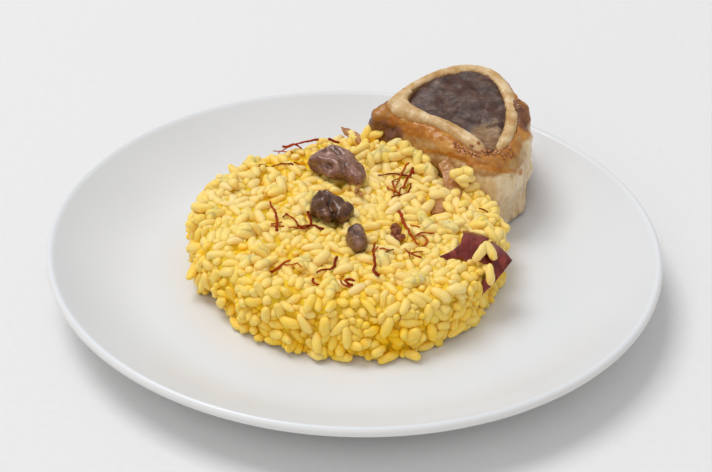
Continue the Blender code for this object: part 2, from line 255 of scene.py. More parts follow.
def braised_veal():
    veal = Finish("braised veal", Specular_IOR_Level=0.3, Coat_Weight=0.3, Coat_Roughness=0.16)
    sear = veal.attribute("sear")
    crust = veal.attribute("crust")
    tendon = veal.attribute("tendon")
    fibre = veal.noise(3.0, 4, 0.55, 0.4, place=veal.stretched(1, 1, 0.5))
    blot = veal.noise(4.5, 4, 0.6, 0.4)
    flesh = veal.ramp(
        fibre, (0.3, (0.35, 0.165, 0.040)), (0.5, (0.44, 0.235, 0.068)), (0.7, (0.56, 0.35, 0.13)))
    gristle = veal.ramp(
        fibre, (0.28, (0.66, 0.46, 0.22)), (0.5, (0.79, 0.60, 0.35)), (0.72, (0.88, 0.74, 0.50)))
    gristle = veal.mix(veal.span(blot, 0.5, 0.75, 0.0, 0.4), gristle, (0.60, 0.36, 0.16))
    golden = veal.ramp(
        blot, (0.27, (0.36, 0.095, 0.002)), (0.5, (0.47, 0.165, 0.010)), (0.72, (0.62, 0.33, 0.075)))
    burnt = veal.ramp(blot, (0.3, (0.07, 0.022, 0.010)), (0.7, (0.33, 0.125, 0.045)))
    waver = veal.span(blot, 0.3, 0.7, -0.22, 0.22)
    base = veal.mix(veal.span(veal.sum(tendon, waver), 0.2, 0.7), flesh, gristle)
    base = veal.mix(veal.span(veal.sum(sear, waver), 0.35, 0.75), base, golden)
    base = veal.mix(veal.span(veal.sum(crust, waver), 0.4, 0.7), base, burnt)
    veal.roughness(veal.sum(
        veal.span(blot, 0.3, 0.7, 0.3, 0.44), veal.span(tendon, 0.0, 1.0, 0.0, 0.16), "SUBTRACT"))
    veal.bump((fibre, 0.16), (blot, 0.45), (veal.noise(0.7, 3), 0.03))
    return veal.colour(base)


def lump_flesh():
    lump = Finish("braised marrow lump", Specular_IOR_Level=0.4, Coat_Weight=0.45, Coat_Roughness=0.1)
    vein = lump.noise(3.4, 4, 0.55, 0.8)
    fine = lump.noise(0.8, 3)
    lump.roughness(lump.span(fine, 0.3, 0.7, 0.16, 0.36))
    lump.bump((vein, 0.45), (fine, 0.06))
    flesh = lump.ramp(
        vein,
        (0.28, (0.15, 0.053, 0.031)),
        (0.45, (0.25, 0.107, 0.070)),
        (0.6, (0.34, 0.172, 0.120)),
        (0.74, (0.46, 0.28, 0.21)))
    dark = lump.ramp(
        vein, (0.3, (0.026, 0.007, 0.001)), (0.5, (0.095, 0.030, 0.007)), (0.74, (0.21, 0.085, 0.030)))
    # The dark attribute mixes each lump's own darkness with painted shade along its creases.
    return lump.colour(lump.mix(lump.attribute("dark"), flesh, dark))


def pale_flesh():
    scrap = Finish(
        "pale veal", Specular_IOR_Level=0.4, Coat_Weight=0.3, Coat_Roughness=0.2, Subsurface_Weight=0.4,
        Subsurface_Scale=0.0012)
    scrap.shader.inputs["Subsurface Radius"].default_value = (1.0, 0.7, 0.4)
    fibre = scrap.noise(2.4, 4, 0.55, 0.5)
    scrap.roughness(scrap.span(fibre, 0.3, 0.7, 0.3, 0.5))
    scrap.bump((fibre, 0.3))
    return scrap.colour(scrap.ramp(
        fibre, (0.28, (0.35, 0.125, 0.024)), (0.5, (0.45, 0.19, 0.046)), (0.72, (0.56, 0.32, 0.105))))


def red_peel():
    peel = Finish("dark red skin", Specular_IOR_Level=0.35, Coat_Weight=0.25, Coat_Roughness=0.15)
    streak = peel.noise(2.6, 4, 0.6, 0.4, place=peel.stretched(1, 0.35, 1))
    rim = peel.attribute("rim")
    skin = peel.ramp(
        streak, (0.28, (0.085, 0.006, 0.003)), (0.5, (0.165, 0.013, 0.007)), (0.75, (0.30, 0.05, 0.03)))
    peel.roughness(peel.span(streak, 0.3, 0.7, 0.22, 0.4))
    peel.bump((streak, 0.2), (peel.noise(0.5, 2), 0.03))
    return peel.colour(peel.mix(peel.span(rim, 0.55, 1.0, 0.0, 0.65), skin, (0.38, 0.06, 0.03)))


def saffron_stigma():
    thread = Finish("saffron stigma", Specular_IOR_Level=0.1)
    streak = thread.noise(1.6, 3)
    tone = thread.attribute("tone")
    thread.roughness(thread.span(streak, 0.3, 0.7, 0.35, 0.6))
    thread.bump((thread.noise(0.3, 2), 0.04))
    body = thread.ramp(
        tone, (0.0, (0.15, 0.010, 0.001)), (0.6, (0.38, 0.036, 0.001)), (1.0, (0.64, 0.17, 0.01)))
    return thread.colour(thread.mix(thread.span(streak, 0.45, 0.75, 0.0, 0.5), body, (0.10, 0.010, 0.002)))


def crust_crumb(name, *tones):
    crumb = Finish(name, Specular_IOR_Level=0.4, Coat_Weight=0.25, Coat_Roughness=0.2)
    grit = crumb.noise(1.1, 3)
    crumb.roughness(crumb.span(grit, 0.3, 0.7, 0.3, 0.6))
    crumb.bump((grit, 0.2))
    return crumb.colour(crumb.ramp(grit, *zip((0.3, 0.5, 0.72), tones)))


# ---------------------------------------------------------------- meshes


def shown(name, mesh):
    piece = bpy.data.objects.new(name, mesh)
    looks.objects.link(piece)
    return piece


def plain_copy(name, source):
    """The evaluated mesh of an object as a new, plain object. The source is removed."""
    graph = bpy.context.evaluated_depsgraph_get()
    graph.update()
    mesh = bpy.data.meshes.new_from_object(
        source.evaluated_get(graph), preserve_all_data_layers=True, depsgraph=graph)
    bpy.data.objects.remove(source)
    mesh.name = name
    return shown(name, mesh)


def points_of(mesh):
    points = np.empty(len(mesh.vertices) * 3)
    mesh.vertices.foreach_get("co", points)
    return points.reshape(-1, 3)


def normals_of(mesh):
    normals = np.empty(len(mesh.vertices) * 3)
    mesh.vertices.foreach_get("normal", normals)
    return normals.reshape(-1, 3)


def place_points(mesh, points):
    mesh.vertices.foreach_set("co", points.ravel())
    mesh.update()


def store(mesh, name, values, kind="FLOAT"):
    layer = mesh.attributes.new(name, kind, "POINT")
    key = "vector" if kind == "FLOAT_VECTOR" else "value"
    layer.data.foreach_set(key, np.asarray(values, dtype=np.int32 if kind == "INT" else np.float32).ravel())


def relief(points, size_mm, stretch=(1, 1, 1), seed=0.0):
    """Smooth noise between about -1 and 1 at each point."""
    scaled = points / (size_mm * MM) * np.array(stretch) + seed
    return np.array([noise.noise(Vector(p)) for p in scaled])


def evened(piece, voxel_mm, smoothing):
    """The piece as a dense even mesh."""
    name = piece.name
    even = piece.modifiers.new("even", "REMESH")
    even.mode = "VOXEL"
    even.voxel_size = voxel_mm * MM
    smooth = piece.modifiers.new("smooth", "SMOOTH")
    smooth.factor = 0.5
    smooth.iterations = smoothing
    return plain_copy(name, piece)


def fine_copy(name, node, voxel_mm, smoothing):
    """A dense even mesh of a frame node, to be sculpted."""
    copy = shown(name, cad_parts[node].data.copy())
    weld = copy.modifiers.new("weld", "WELD")
    weld.merge_threshold = 0.00002
    copy.data.materials.clear()
    return evened(copy, voxel_mm, smoothing)


def sculpt(piece, shift):
    """Moves each point along its normal by shift(points), in mm."""
    points = points_of(piece.data)
    normals = normals_of(piece.data)
    place_points(piece.data, points + normals * (shift(points) * MM)[:, None])


def dress(piece, material, slot, *nodes):
    """Gives a finished piece its material and its body, and hides the nodes that it stands for. The slot is
    not used.
    """
    piece.data.materials.clear()
    piece.data.materials.append(material)
    piece.data.shade_smooth()
    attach(piece, "root")
    if nodes:
        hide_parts(*nodes)
    return piece


def surface_of(*pieces):
    """A search tree over the triangles of several pieces."""
    corners = []
    faces = []
    for piece in pieces:
        start = len(corners)
        corners += [tuple(p) for p in points_of(piece.data)]
        faces += [tuple(start + v for v in face.vertices) for face in piece.data.polygons]
    return BVHTree.FromPolygons(corners, faces)


def bell(distance, width):
    return np.exp(-((distance / width) ** 2))


def from_step(places, start, end):
    """Distance from each place to a straight step between two others, all in mm."""
    a = np.array(start, float)
    b = np.array(end, float)
    share = ((places - a) @ (b - a) / ((b - a) @ (b - a))).clip(0, 1)
    return np.linalg.norm(places - (a + share[:, None] * (b - a)), axis=1)


def near_path(points, corners, width):
    """1 on a line of straight steps between places in mm, falling off with distance."""
    nearest = np.full(len(points), np.inf)
    for start, end in zip(corners, corners[1:]):
        nearest = np.minimum(nearest, from_step(points / MM, start, end))
    return bell(nearest, width)


def strongest(*marks):
    """The strongest of several marks at each point, from 0 to 1."""
    return np.maximum.reduce(marks).clip(0, 1)


def near_place(points, place, reach):
    return bell(np.linalg.norm(points / MM - np.array(place), axis=1), reach)


def smooth_route(corners, step_mm):
    """Points along a smooth curve through the corners, in mm, about step_mm apart."""
    row = [2 * np.array(corners[0]) - np.array(corners[1])] + [np.array(c) for c in corners]
    row.append(2 * np.array(corners[-1]) - np.array(corners[-2]))
    points = []
    for before, start, end, after in zip(row, row[1:], row[2:], row[3:]):
        steps = max(2, int(np.linalg.norm(end - start) / step_mm))
        for index in range(steps):
            t = index / steps
            points.append(0.5 * (
                2 * start + (end - before) * t + (2 * before - 5 * start + 4 * end - after) * t**2
                + (3 * start - before - 3 * end + after) * t**3))
    points.append(row[-2])
    return points


def rise(value, low, high):
    """0 below low, 1 above high, smooth between."""
    share = np.clip((value - low) / (high - low), 0, 1)
    return share * share * (3 - 2 * share)


# ---------------------------------------------------------------- Geometry Nodes


class Tree:
    """A Geometry Nodes tree in the making, with named inputs."""

    def __init__(self, name, **inputs):
        self.group = bpy.data.node_groups.new(name, "GeometryNodeTree")
        sockets = self.group.interface
        sockets.new_socket("Geometry", in_out="INPUT", socket_type="NodeSocketGeometry")
        sockets.new_socket("Geometry", in_out="OUTPUT", socket_type="NodeSocketGeometry")
        for label, kind in inputs.items():
            sockets.new_socket(label, in_out="INPUT", socket_type=kind)
        self.start = self.group.nodes.new("NodeGroupInput")
        self.end = self.group.nodes.new("NodeGroupOutput")

    def add(self, kind, settings=None, **inputs):
        node = self.group.nodes.new(kind)
        for key, value in (settings or {}).items():
            setattr(node, key, value)
        for label, value in inputs.items():
            socket = next(s for s in node.inputs if s.name == label.replace("_", " ") and s.enabled)
            self.feed(socket, value)
        return node

    def feed(self, socket, value):
        if isinstance(value, bpy.types.NodeSocket):
            self.group.links.new(value, socket)
        else:
            socket.default_value = value

    def given(self, label):
        return self.start.outputs[label]

    def math(self, operation, *values):
        node = self.group.nodes.new("ShaderNodeMath")
        node.operation = operation
        for socket, value in zip(node.inputs, values):
            self.feed(socket, value)
        return node.outputs[0]

    def named(self, name, kind):
        node = self.add("GeometryNodeInputNamedAttribute", {"data_type": kind}, Name=name)
        return next(s for s in node.outputs if s.name == "Attribute" and s.enabled)

    def finish(self, geometry, material):
        """Ends the tree: real geometry, with its material."""
        real = self.add("GeometryNodeRealizeInstances", Geometry=geometry)
        painted = self.add("GeometryNodeSetMaterial", Geometry=real.outputs[0], Material=material)
        self.group.links.new(painted.outputs[0], self.end.inputs[0])
        return self.group


def run_tree(name, source, group, **values):
    """Runs a tree on a source object and returns the plain result."""
    modifier = source.modifiers.new(group.name, "NODES")
    modifier.node_group = group
    for item in group.interface.items_tree:
        if item.item_type == "SOCKET" and item.in_out == "INPUT" and item.name in values:
            modifier[item.identifier] = values[item.name]
    return plain_copy(name, source)


def lathe_tree(material):
    """Turns a profile, given as a row of points in the XZ plane, about the Z axis."""
    tree = Tree("turned on the wheel", Profile_points="NodeSocketInt", Steps="NodeSocketInt")
    rows = tree.given("Profile_points")
    columns = tree.math("ADD", tree.given("Steps"), 1)
    grid = tree.add("GeometryNodeMeshGrid", Vertices_X=rows, Vertices_Y=columns)
    index = tree.add("GeometryNodeInputIndex").outputs[0]
    row = tree.math("FLOOR", tree.math("DIVIDE", tree.math("ADD", index, 0.5), columns))
    column = tree.math("SUBTRACT", index, tree.math("MULTIPLY", row, columns))
    angle = tree.math("MULTIPLY", tree.math("DIVIDE", column, tree.given("Steps")), math.tau)
    profile = tree.add("GeometryNodeInputPosition").outputs[0]
    sample = tree.add(
        "GeometryNodeSampleIndex", {"data_type": "FLOAT_VECTOR"},
        Geometry=tree.given("Geometry"), Value=profile, Index=row)
    place = tree.group.nodes.new("ShaderNodeSeparateXYZ")
    tree.group.links.new(sample.outputs[0], place.inputs[0])
    turned = tree.add(
        "ShaderNodeCombineXYZ",
        X=tree.math("MULTIPLY", place.outputs["X"], tree.math("COSINE", angle)),
        Y=tree.math("MULTIPLY", place.outputs["X"], tree.math("SINE", angle)),
        Z=place.outputs["Z"])
    moved = tree.add("GeometryNodeSetPosition", Geometry=grid.outputs["Mesh"], Position=turned.outputs[0])
    merged = tree.add("GeometryNodeMergeByDistance", Geometry=moved.outputs[0], Distance=0.00001)
    return tree.finish(merged.outputs[0], material)


def scatter_tree(name, shapes, material):
    """Sets one of several shapes on each point, by the attributes kind, turn and size."""
    tree = Tree(name, Scale="NodeSocketFloat")
    row = tree.group.nodes.new("GeometryNodeJoinGeometry")
    for shape in reversed(shapes):
        info = tree.add("GeometryNodeObjectInfo", Object=shape)
        info.inputs["As Instance"].default_value = True
        tree.group.links.new(info.outputs["Geometry"], row.inputs[0])
    turn = tree.add("FunctionNodeEulerToRotation", Euler=tree.named("turn", "FLOAT_VECTOR"))
    size = tree.named("size", "FLOAT_VECTOR")
    scale = tree.add("ShaderNodeVectorMath", {"operation": "SCALE"}, Vector=size)
    tree.group.links.new(tree.given("Scale"), scale.inputs["Scale"])
    spread = tree.add("GeometryNodeInstanceOnPoints", Points=tree.given("Geometry"), Instance=row.outputs[0])
    spread.inputs["Pick Instance"].default_value = True
    tree.group.links.new(tree.named("kind", "INT"), spread.inputs["Instance Index"])
    tree.group.links.new(turn.outputs[0], spread.inputs["Rotation"])
    tree.group.links.new(scale.outputs[0], spread.inputs["Scale"])
    return tree.finish(spread.outputs[0], material)


def strand_tree(material):
    """Gives rows of edges a round section of the radius in the attribute girth."""
    tree = Tree("strands", Sides="NodeSocketInt")
    curve = tree.add("GeometryNodeMeshToCurve", Mesh=tree.given("Geometry"))
    section = tree.add(
        "GeometryNodeCurvePrimitiveCircle", {"mode": "RADIUS"}, Resolution=tree.given("Sides"), Radius=1.0)
    body = tree.add("GeometryNodeCurveToMesh", Curve=curve.outputs[0], Profile_Curve=section.outputs[0])
    body.inputs["Fill Caps"].default_value = True
    tree.feed(body.inputs["Scale"], tree.named("girth", "FLOAT"))
    return tree.finish(body.outputs[0], material)


def scattered(name, places, turns, sizes, kinds, tints, group):
    mesh = bpy.data.meshes.new(name)
    mesh.from_pydata([tuple(p) for p in places], [], [])
    store(mesh, "turn", turns, "FLOAT_VECTOR")
    store(mesh, "size", sizes, "FLOAT_VECTOR")
    store(mesh, "kind", kinds, "INT")
    store(mesh, "tint", tints)
    return run_tree(name, shown(name + "_seats", mesh), group, Scale=1.0)


# ---------------------------------------------------------------- plate

WELL_RADIUS_MM = 88
WELL_HEIGHT_MM = 6.5
CREST_RADIUS_MM = 124.9
CREST_HEIGHT_MM = 24.3
WALL_POWER = 1.8
BODY_MM = 4.3
LIP_MM = 2.1
PLATE_STEPS = 192


def wall_height_mm(radius):
    climb = max(0.0, (radius - WELL_RADIUS_MM) / (CREST_RADIUS_MM - WELL_RADIUS_MM))
    return WELL_HEIGHT_MM + (CREST_HEIGHT_MM - WELL_HEIGHT_MM) * climb**WALL_POWER


def plate_profile():
    """The plate's section from the middle of its well, over the lip and back underneath."""
    section = [(radius, WELL_HEIGHT_MM) for radius in (0, 20, 40, 60, 75, 83)]
    for radius in np.linspace(WELL_RADIUS_MM, CREST_RADIUS_MM, 26):
        section.append((radius, wall_height_mm(radius)))
    for degrees in range(75, -61, -15):
        turn = math.radians(degrees)
        section.append((
            CREST_RADIUS_MM + LIP_MM * math.cos(turn), CREST_HEIGHT_MM - LIP_MM + LIP_MM * math.sin(turn)))
    for radius in np.linspace(CREST_RADIUS_MM - 2.2, 88, 22):
        section.append((radius, wall_height_mm(radius) - BODY_MM))
    section += [
        (85.4, WELL_HEIGHT_MM - BODY_MM + 0.1), (84.2, 1.7), (83.4, 0.8), (82.9, 0.3), (82.2, 0.0),
        (80.6, 0.0), (79.2, 0.0), (78.5, 0.3), (78.1, 1.0), (77.4, 1.8), (76.4, 2.0),
        (60, 2.0), (30, 2.0), (0, 2.0)]
    return [(radius * MM, 0, height * MM) for radius, height in section]


def make_plate():
    glaze = porcelain_glaze()
    profile = plate_profile()
    mesh = bpy.data.meshes.new("plate profile")
    mesh.from_pydata(profile, [], [])
    plate = run_tree(
        "porcelain_plate", shown("plate_profile", mesh), lathe_tree(glaze),
        Profile_points=len(profile), Steps=PLATE_STEPS)
    turn_outwards(plate)
    points = points_of(plate.data) / MM
    normals = normals_of(plate.data)
    # upper marks the faces that get the cooler tint, a painted light correction; the rest get the warmer
    # painted shade tint.
    store(plate.data, "upper", (normals[:, 2] > 0.05) & (np.hypot(points[:, 0], points[:, 1]) < 126))
    return dress(plate, glaze, "porcelain", "plate")


def turn_outwards(piece):
    """Makes the faces of a closed piece point outwards."""
    points = points_of(piece.data)
    piece.data.calc_loop_triangles()
    corners = np.array([t.vertices for t in piece.data.loop_triangles])
    first, second, third = (points[corners[:, corner]] for corner in range(3))
    volume = np.einsum("ij,ij->i", first, np.cross(second, third)).sum()
    if volume < 0:
        piece.data.flip_normals()


# ---------------------------------------------------------------- rice

GRAIN_RADIUS_MM = 2.0
GRAIN_REACH_MM = 2.45  # from a grain's middle to the centre of its rounded end
SHELL_MM = 8.5  # grains lie this deep under the cake's outline
GRAIN_VOLUME_MM3 = 104
GRAIN_FILL = 1.85
SETTLE_STEPS = 60
TILTED_SHARE = 0.32  # grains that stand or lean, with one end deeper in the heap
HEART_DEPTH_MM = 4.5  # under the grains the heap is one smooth body
FILM_MM = 0.8  # cream closes gaps up to twice this wide
FILM_DROP_MM = 1.85  # and lies this far under the swollen grains
TRIAL_PLACES = 60000  # from which the grains' first places are taken
NEIGHBOUR_MM = 10.5  # grains whose middles are nearer than this may touch
GRAIN_SQUASH = 0.7  # share of two grains' radii at which they press on each other
GRAIN_FORMS = (  # name, bend, plumpness of one end, bluntness and depth of the notch
    ("plump_grain", 0.10, 0.10, 2.7, 0.3),
    ("bent_grain", 0.32, 0.14, 2.5, 0.35),
    ("blunt_grain", 0.05, -0.16, 3.6, 0.5),
    ("slim_grain", 0.20, 0.2, 2.4, 0.3),
    ("split_grain", 0.14, 0.05, 3.2, 0.75),
)


def free_faces(node):
    """The faces of the rice's outline that don't lie on the plate, as a search tree."""
    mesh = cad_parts[node].data
    corners = [tuple(v.co) for v in mesh.vertices]
    faces = [tuple(face.vertices) for face in mesh.polygons if face.normal.z > -0.6]
    return BVHTree.FromPolygons(corners, faces)


# Where the loose outline stands out (or dips, below zero): place, reach and height, all in mm
SWELLS_MM = (
    ((-47, 38, 33), 9, 2.2), ((-58, 24, 32), 7, 2.0), ((-67, 2, 29), 8, 1.0), ((-62, -22, 18), 6, 2.2),
    ((-57, -31, 10), 6, -2.2), ((0, -62, 9), 14, 1.5), ((20, -60, 9), 14, 1.5), ((-22, -58, 9), 10, 0.8),
    ((60, -24, 15), 13, -4.6), ((50, -42, 14), 12, -3.4), ((64, -12, 25), 9, -2.0), ((5, 57, 39), 7, 5.0),
    ((13, 52, 40), 6.5, 4.4), ((22, 46, 38.5), 5.5, 3.6), ((29, 41, 38), 5, 2.4), ((37, 35, 36), 5, 1.4),
    ((50, 21, 35), 6, 1.6),
)


def hollow_mm(points):
    """How far the heap's loose outline dips under the smooth one, with a groove along the front."""
    x, y, z = (points / MM).T
    heading = np.degrees(np.arctan2(y, x + 2.5))
    side = rise(np.hypot(x + 2.5, y), 48, 58)
    groove = 3.2 * bell(z - 25.2, 2.6) * bell(turned_from(heading, -92), 48) * side
    lip = 1.9 * bell(z - 30.5, 2.4) * bell(turned_from(heading, -92), 55) * side
    foot = 1.3 * bell(z - 10, 3.0) * bell(turned_from(heading, -75), 50) * side
    wall = side * (1 - rise(z, 27, 31))
    shape = (1.6 + 1.2 * wall) * relief(points, 13, seed=8) + 0.6 * rise(relief(points, 8, seed=4), 0.1, 0.5)
    shape += groove - lip - foot + 1.2 * wall * relief(points, 6, seed=12)
    for place, reach, height in SWELLS_MM:
        shape -= height * near_place(points, place, reach)
    return shape


def nearest_shares(a0, a1, b0, b1):
    """For pairs of rods, the shares along each at which they come nearest."""
    u, v, w = a1 - a0, b1 - b0, a0 - b0
    uu, uv, vv = (u * u).sum(1), (u * v).sum(1), (v * v).sum(1)
    uw, vw = (u * w).sum(1), (v * w).sum(1)
    det = uu * vv - uv * uv
    s = np.where(det > 1e-6 * uu * vv, (uv * vw - vv * uw) / np.maximum(det, 1e-20), 0.5).clip(0, 1)
    t = ((uv * s + vw) / vv).clip(0, 1)
    s = ((uv * t - uw) / uu).clip(0, 1)
    return s, t


def close_pairs(middles, reach):
    tree = kdtree.KDTree(len(middles))
    for index, middle in enumerate(middles):
        tree.insert(middle, index)
    tree.balance()
    pairs = []
    for index, middle in enumerate(middles):
        pairs += [(index, other) for _, other, _ in tree.find_range(middle, reach) if other > index]
    return np.array(pairs)


def settle_grains(outline, low, high, floor):
    """Packs grains under the outline. Returns the two ends of each and the way out from the heap."""
    random = np.random.default_rng(11)
    shell = SHELL_MM * MM
    trial = random.uniform(low, high, (TRIAL_PLACES, 3))
    depth = np.full(len(trial), -1.0)
    for index, point in enumerate(trial):
        place, normal, _, distance = outline.find_nearest(point)
        if (Vector(point) - place).dot(normal) < 0:
            depth[index] = distance
    inside = (depth > 1.2 * MM) & (depth < shell)
    volume = np.prod((np.array(high) - np.array(low)) / MM) * inside.mean()
    count = int(volume * GRAIN_FILL / GRAIN_VOLUME_MM3)
    middles = trial[inside][:count]
    count = len(middles)
    aims = random.normal(size=(count, 3))
    for index, point in enumerate(middles):
        normal = np.array(outline.find_nearest(point)[1])
        aims[index] -= normal * aims[index].dot(normal) * 0.15
    aims /= np.linalg.norm(aims, axis=1)[:, None]
    reach = GRAIN_REACH_MM * MM * random.normal(1.0, 0.08, count).clip(0.75, 1.2)
    radius = GRAIN_RADIUS_MM * MM * random.normal(1.0, 0.05, count).clip(0.88, 1.12)
    ends = [middles - aims * reach[:, None], middles + aims * reach[:, None]]
    hollows = hollow_mm(middles)
    wall = 1 - rise(middles[:, 2] / MM, 26, 31)
    proud = [(random.normal(0.3, 0.6, count).clip(-1.2, 2.0) * (1 + 0.5 * wall) - hollows) * MM for _ in ends]
    tilted = random.random(count) < TILTED_SHARE + 0.2 * wall
    proud[0] -= np.where(tilted, random.uniform(2.0, 5.0, count), 0) * MM
    outward = np.zeros((count, 3))
    for step in range(SETTLE_STEPS):
        if step % 8 == 0:
            pairs = close_pairs((ends[0] + ends[1]) / 2, NEIGHBOUR_MM * MM)
            first, second = pairs[:, 0], pairs[:, 1]
        s, t = nearest_shares(ends[0][first], ends[1][first], ends[0][second], ends[1][second])
        near = ends[0][first] * (1 - s)[:, None] + ends[1][first] * s[:, None]
        far = ends[0][second] * (1 - t)[:, None] + ends[1][second] * t[:, None]
        gap = near - far
        length = np.maximum(np.linalg.norm(gap, axis=1), 1e-7)
        overlap = np.maximum((radius[first] + radius[second]) * GRAIN_SQUASH - length, 0)
        push = gap / length[:, None] * (overlap * 0.25)[:, None]
        for rods, share, way in ((first, s, 1), (second, t, -1)):
            weight = (1 - share) ** 2 + share**2
            np.add.at(ends[0], rods, way * push * ((1 - share) / weight)[:, None])
            np.add.at(ends[1], rods, way * push * (share / weight)[:, None])
        for side in (0, 1):
            for index in range(count):
                place, normal, _, distance = outline.find_nearest(ends[side][index])
                out = (Vector(ends[side][index]) - place).dot(normal) > 0
                depth = -distance if out else distance
                wanted = radius[index] - proud[side][index]
                if depth < wanted:
                    ends[side][index] = place - normal * (wanted * 0.7 + depth * 0.3)
                elif depth > shell + 2 * MM:
                    ends[side][index] += np.array(normal) * (0.3 * (depth - shell))
                outward[index] = normal
            ends[side][:, 2] = np.maximum(ends[side][:, 2], floor + radius * 0.9)
        middle = (ends[0] + ends[1]) / 2
        aim = ends[1] - ends[0]
        aim /= np.linalg.norm(aim, axis=1)[:, None]
        ends = [middle - aim * reach[:, None], middle + aim * reach[:, None]]
    kept = np.ones(count, bool)
    for side in (0, 1):
        kept &= depth_mm(ends[side], outline) > -3.4
        above = (2.6 - np.minimum(hollow_mm(ends[side]), 0)) * MM
        for index, point in enumerate(ends[side]):
            top = outline.ray_cast(Vector((point[0], point[1], 0.09)), -UP)[0]
            kept[index] &= top is None or point[2] < top.z + above[index]
    return ends[0][kept], ends[1][kept], radius[kept], outward[kept]


def grain_shape(name, bend, plump, blunt, notch, seed):
    """One cooked grain: 2 mm long from middle to end in its own units, so that size scales it to measure."""
    rings = 8
    sides = 8
    points = [(-1.0, 0.0, bend * -0.5)]
    for ring in range(rings):
        along = -math.cos(math.pi * (ring + 0.75) / (rings + 0.5))
        girth = (1 - abs(along) ** blunt) ** (1 / blunt) * (1 + plump * along)
        lift = bend * (0.5 - along * along)
        for side in range(sides):
            turn = math.tau * (side + 0.5) / sides
            y = girth * math.cos(turn)
            z = girth * math.sin(turn)
            if z > 0:
                z *= 1 - notch * math.exp(-(((along - 0.72) / 0.2) ** 2))
            uneven = 1 + 0.22 * noise.noise(Vector((along * 1.7, y * 1.3, z * 1.3 + seed * 9.1)))
            points.append((along, y * uneven, z * uneven + lift))
    points.append((1.0, 0.0, bend * -0.5))
    faces = []
    for ring in range(rings - 1):
        for side in range(sides):
            after = (side + 1) % sides
            start = 1 + ring * sides
            faces.append((start + side, start + sides + side, start + sides + after, start + after))
    for side in range(sides):
        after = (side + 1) % sides
        faces.append((0, 1 + side, 1 + after))
        last = 1 + (rings - 1) * sides
        faces.append((len(points) - 1, last + after, last + side))
    mesh = bpy.data.meshes.new(name)
    mesh.from_pydata(points, [], faces)
    mesh.shade_smooth()
    shape = shown(name, mesh)
    turn_outwards(shape)
    return shape


def grain_attitude(aim, outward, roll):
    """The turn that lays a grain along aim, with its flatter side outwards."""
    along = Vector(aim).normalized()
    out = Vector(outward)
    out -= along * out.dot(along)
    if out.length < 1e-4:
        out = along.orthogonal()
    out.normalize()
    across = out.cross(along)
    turn = Matrix((along, across, out)).transposed()
    return (turn @ Matrix.Rotation(roll, 3, "X")).to_euler()


# Single grains laid one by one: place in mm, then the way they point
LAID_GRAINS = (
    ((49.9, -27.4, 34.7), (4.4, 4.0, 5.0)), ((54.0, -26.2, 35.2), (4.1, -5.0, -4.2)),
    ((53.9, -35.2, 29.8), (0.4, -4.0, -5.2)), ((43.4, 24.2, 40.8), (5, 1.5, 0.6)),
    ((46.4, 21.8, 39.6), (4, 2.5, -1)),
    ((43.6, 22.0, 38.6), (3, -2.5, -1)), ((46.2, 24.6, 41.6), (1.6, -3, 1.2)),
    ((-47.5, 38, 33.4), (1.6, 0.8, 1.0)), ((-44.0, 40, 33.6), (-1.4, 0.3, 0.9)),
    ((-56, 25, 33.0), (-1.4, 0.4, 0.8)),
    ((-59, 20, 31.8), (-1.2, 0.2, 0.6)), ((-52, 32, 33.2), (-0.8, 0.6, 0.7)),
    ((-66.0, -3, 28.5), (-1.6, -0.6, 0.5)),
    ((-66.0, -21.5, 17.0), (-0.4, -1.4, 0.1)), ((-4, -64.0, 8.8), (2, -0.8, 0.4)),
    ((14, -63.6, 8.8), (1.6, 0.9, 0.3)),
    ((23, -61.5, 8.9), (2, -1.3, 0.3)), ((-14.5, -62.6, 8.8), (1.2, -1.4, 0.4)),
    ((30.2, 9.6, 32.8), (2, 3, 0.2)), ((38.4, 9.6, 32.8), (1, -3, 0.3)), ((35.0, 18.2, 33.4), (3, 0.4, 0)),
)


def make_rice(threads):
    rice = cooked_rice()
    outline = free_faces("risotto")
    low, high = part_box("risotto")
    start, end, radius, outward = settle_grains(outline, low, high, low.z - 0.2 * MM)
    settled = len(start)
    laid = np.array([place for place, _ in LAID_GRAINS]) * MM
    aims = np.array([way for _, way in LAID_GRAINS], float)
    aims *= GRAIN_REACH_MM * MM / np.linalg.norm(aims, axis=1)[:, None]
    start = np.concatenate([start, laid - aims])
    end = np.concatenate([end, laid + aims])
    radius = np.concatenate([radius, np.full(len(laid), GRAIN_RADIUS_MM * MM)])
    outward = np.concatenate([outward, np.tile((0.0, -0.6, 0.8), (len(laid), 1))])
    count = len(start)
    random = np.random.default_rng(5)
    shapes = [grain_shape(*form, seed) for seed, form in enumerate(GRAIN_FORMS, 1)]
    middles = (start + end) / 2
    halves = np.linalg.norm(end - start, axis=1) / 2 + radius
    turns = [
        grain_attitude(end[i] - start[i], outward[i], random.normal(0, 0.5)) for i in range(count)]
    sizes = np.stack([
        halves, radius * random.normal(1.06, 0.05, count), radius * random.normal(0.95, 0.05, count)], 1)
    kinds = random.integers(0, len(shapes), count)
    # Painted sheen: grains higher on the heap get paler tints, standing in for the bright reflection on its
    # top, over a random tone per grain.
    tints = 0.28 + 0.47 * rise(middles[:, 2] / MM, 18, 33) + random.normal(0, 0.11, count)
    group = scatter_tree("rice grains", shapes, rice)
    mound = []
    top = middles[:, 2] > 24 * MM
    for name, chosen in (("rice_top", top), ("rice_side", ~top)):
        piece = scattered(
            name, middles[chosen], np.array([tuple(t) for t in turns])[chosen], sizes[chosen],
            kinds[chosen], tints[chosen], group)
        mound.append(dress(piece, rice, "rice", "risotto"))
    for piece in mound:
        points = points_of(piece.data)
        # depth drives the painted shade of the gaps in the rice's colour.
        store(piece.data, "depth", depth_mm(points, outline))
    swollen = scattered(
        "swollen_grains", middles[:settled], turns[:settled], sizes[:settled] + FILM_MM * MM, kinds[:settled],
        tints[:settled], group)
    core = make_cream(swollen)
    mound.append(make_bank(core, shapes, group, rice, outline, threads))
    return [*mound, core], shapes


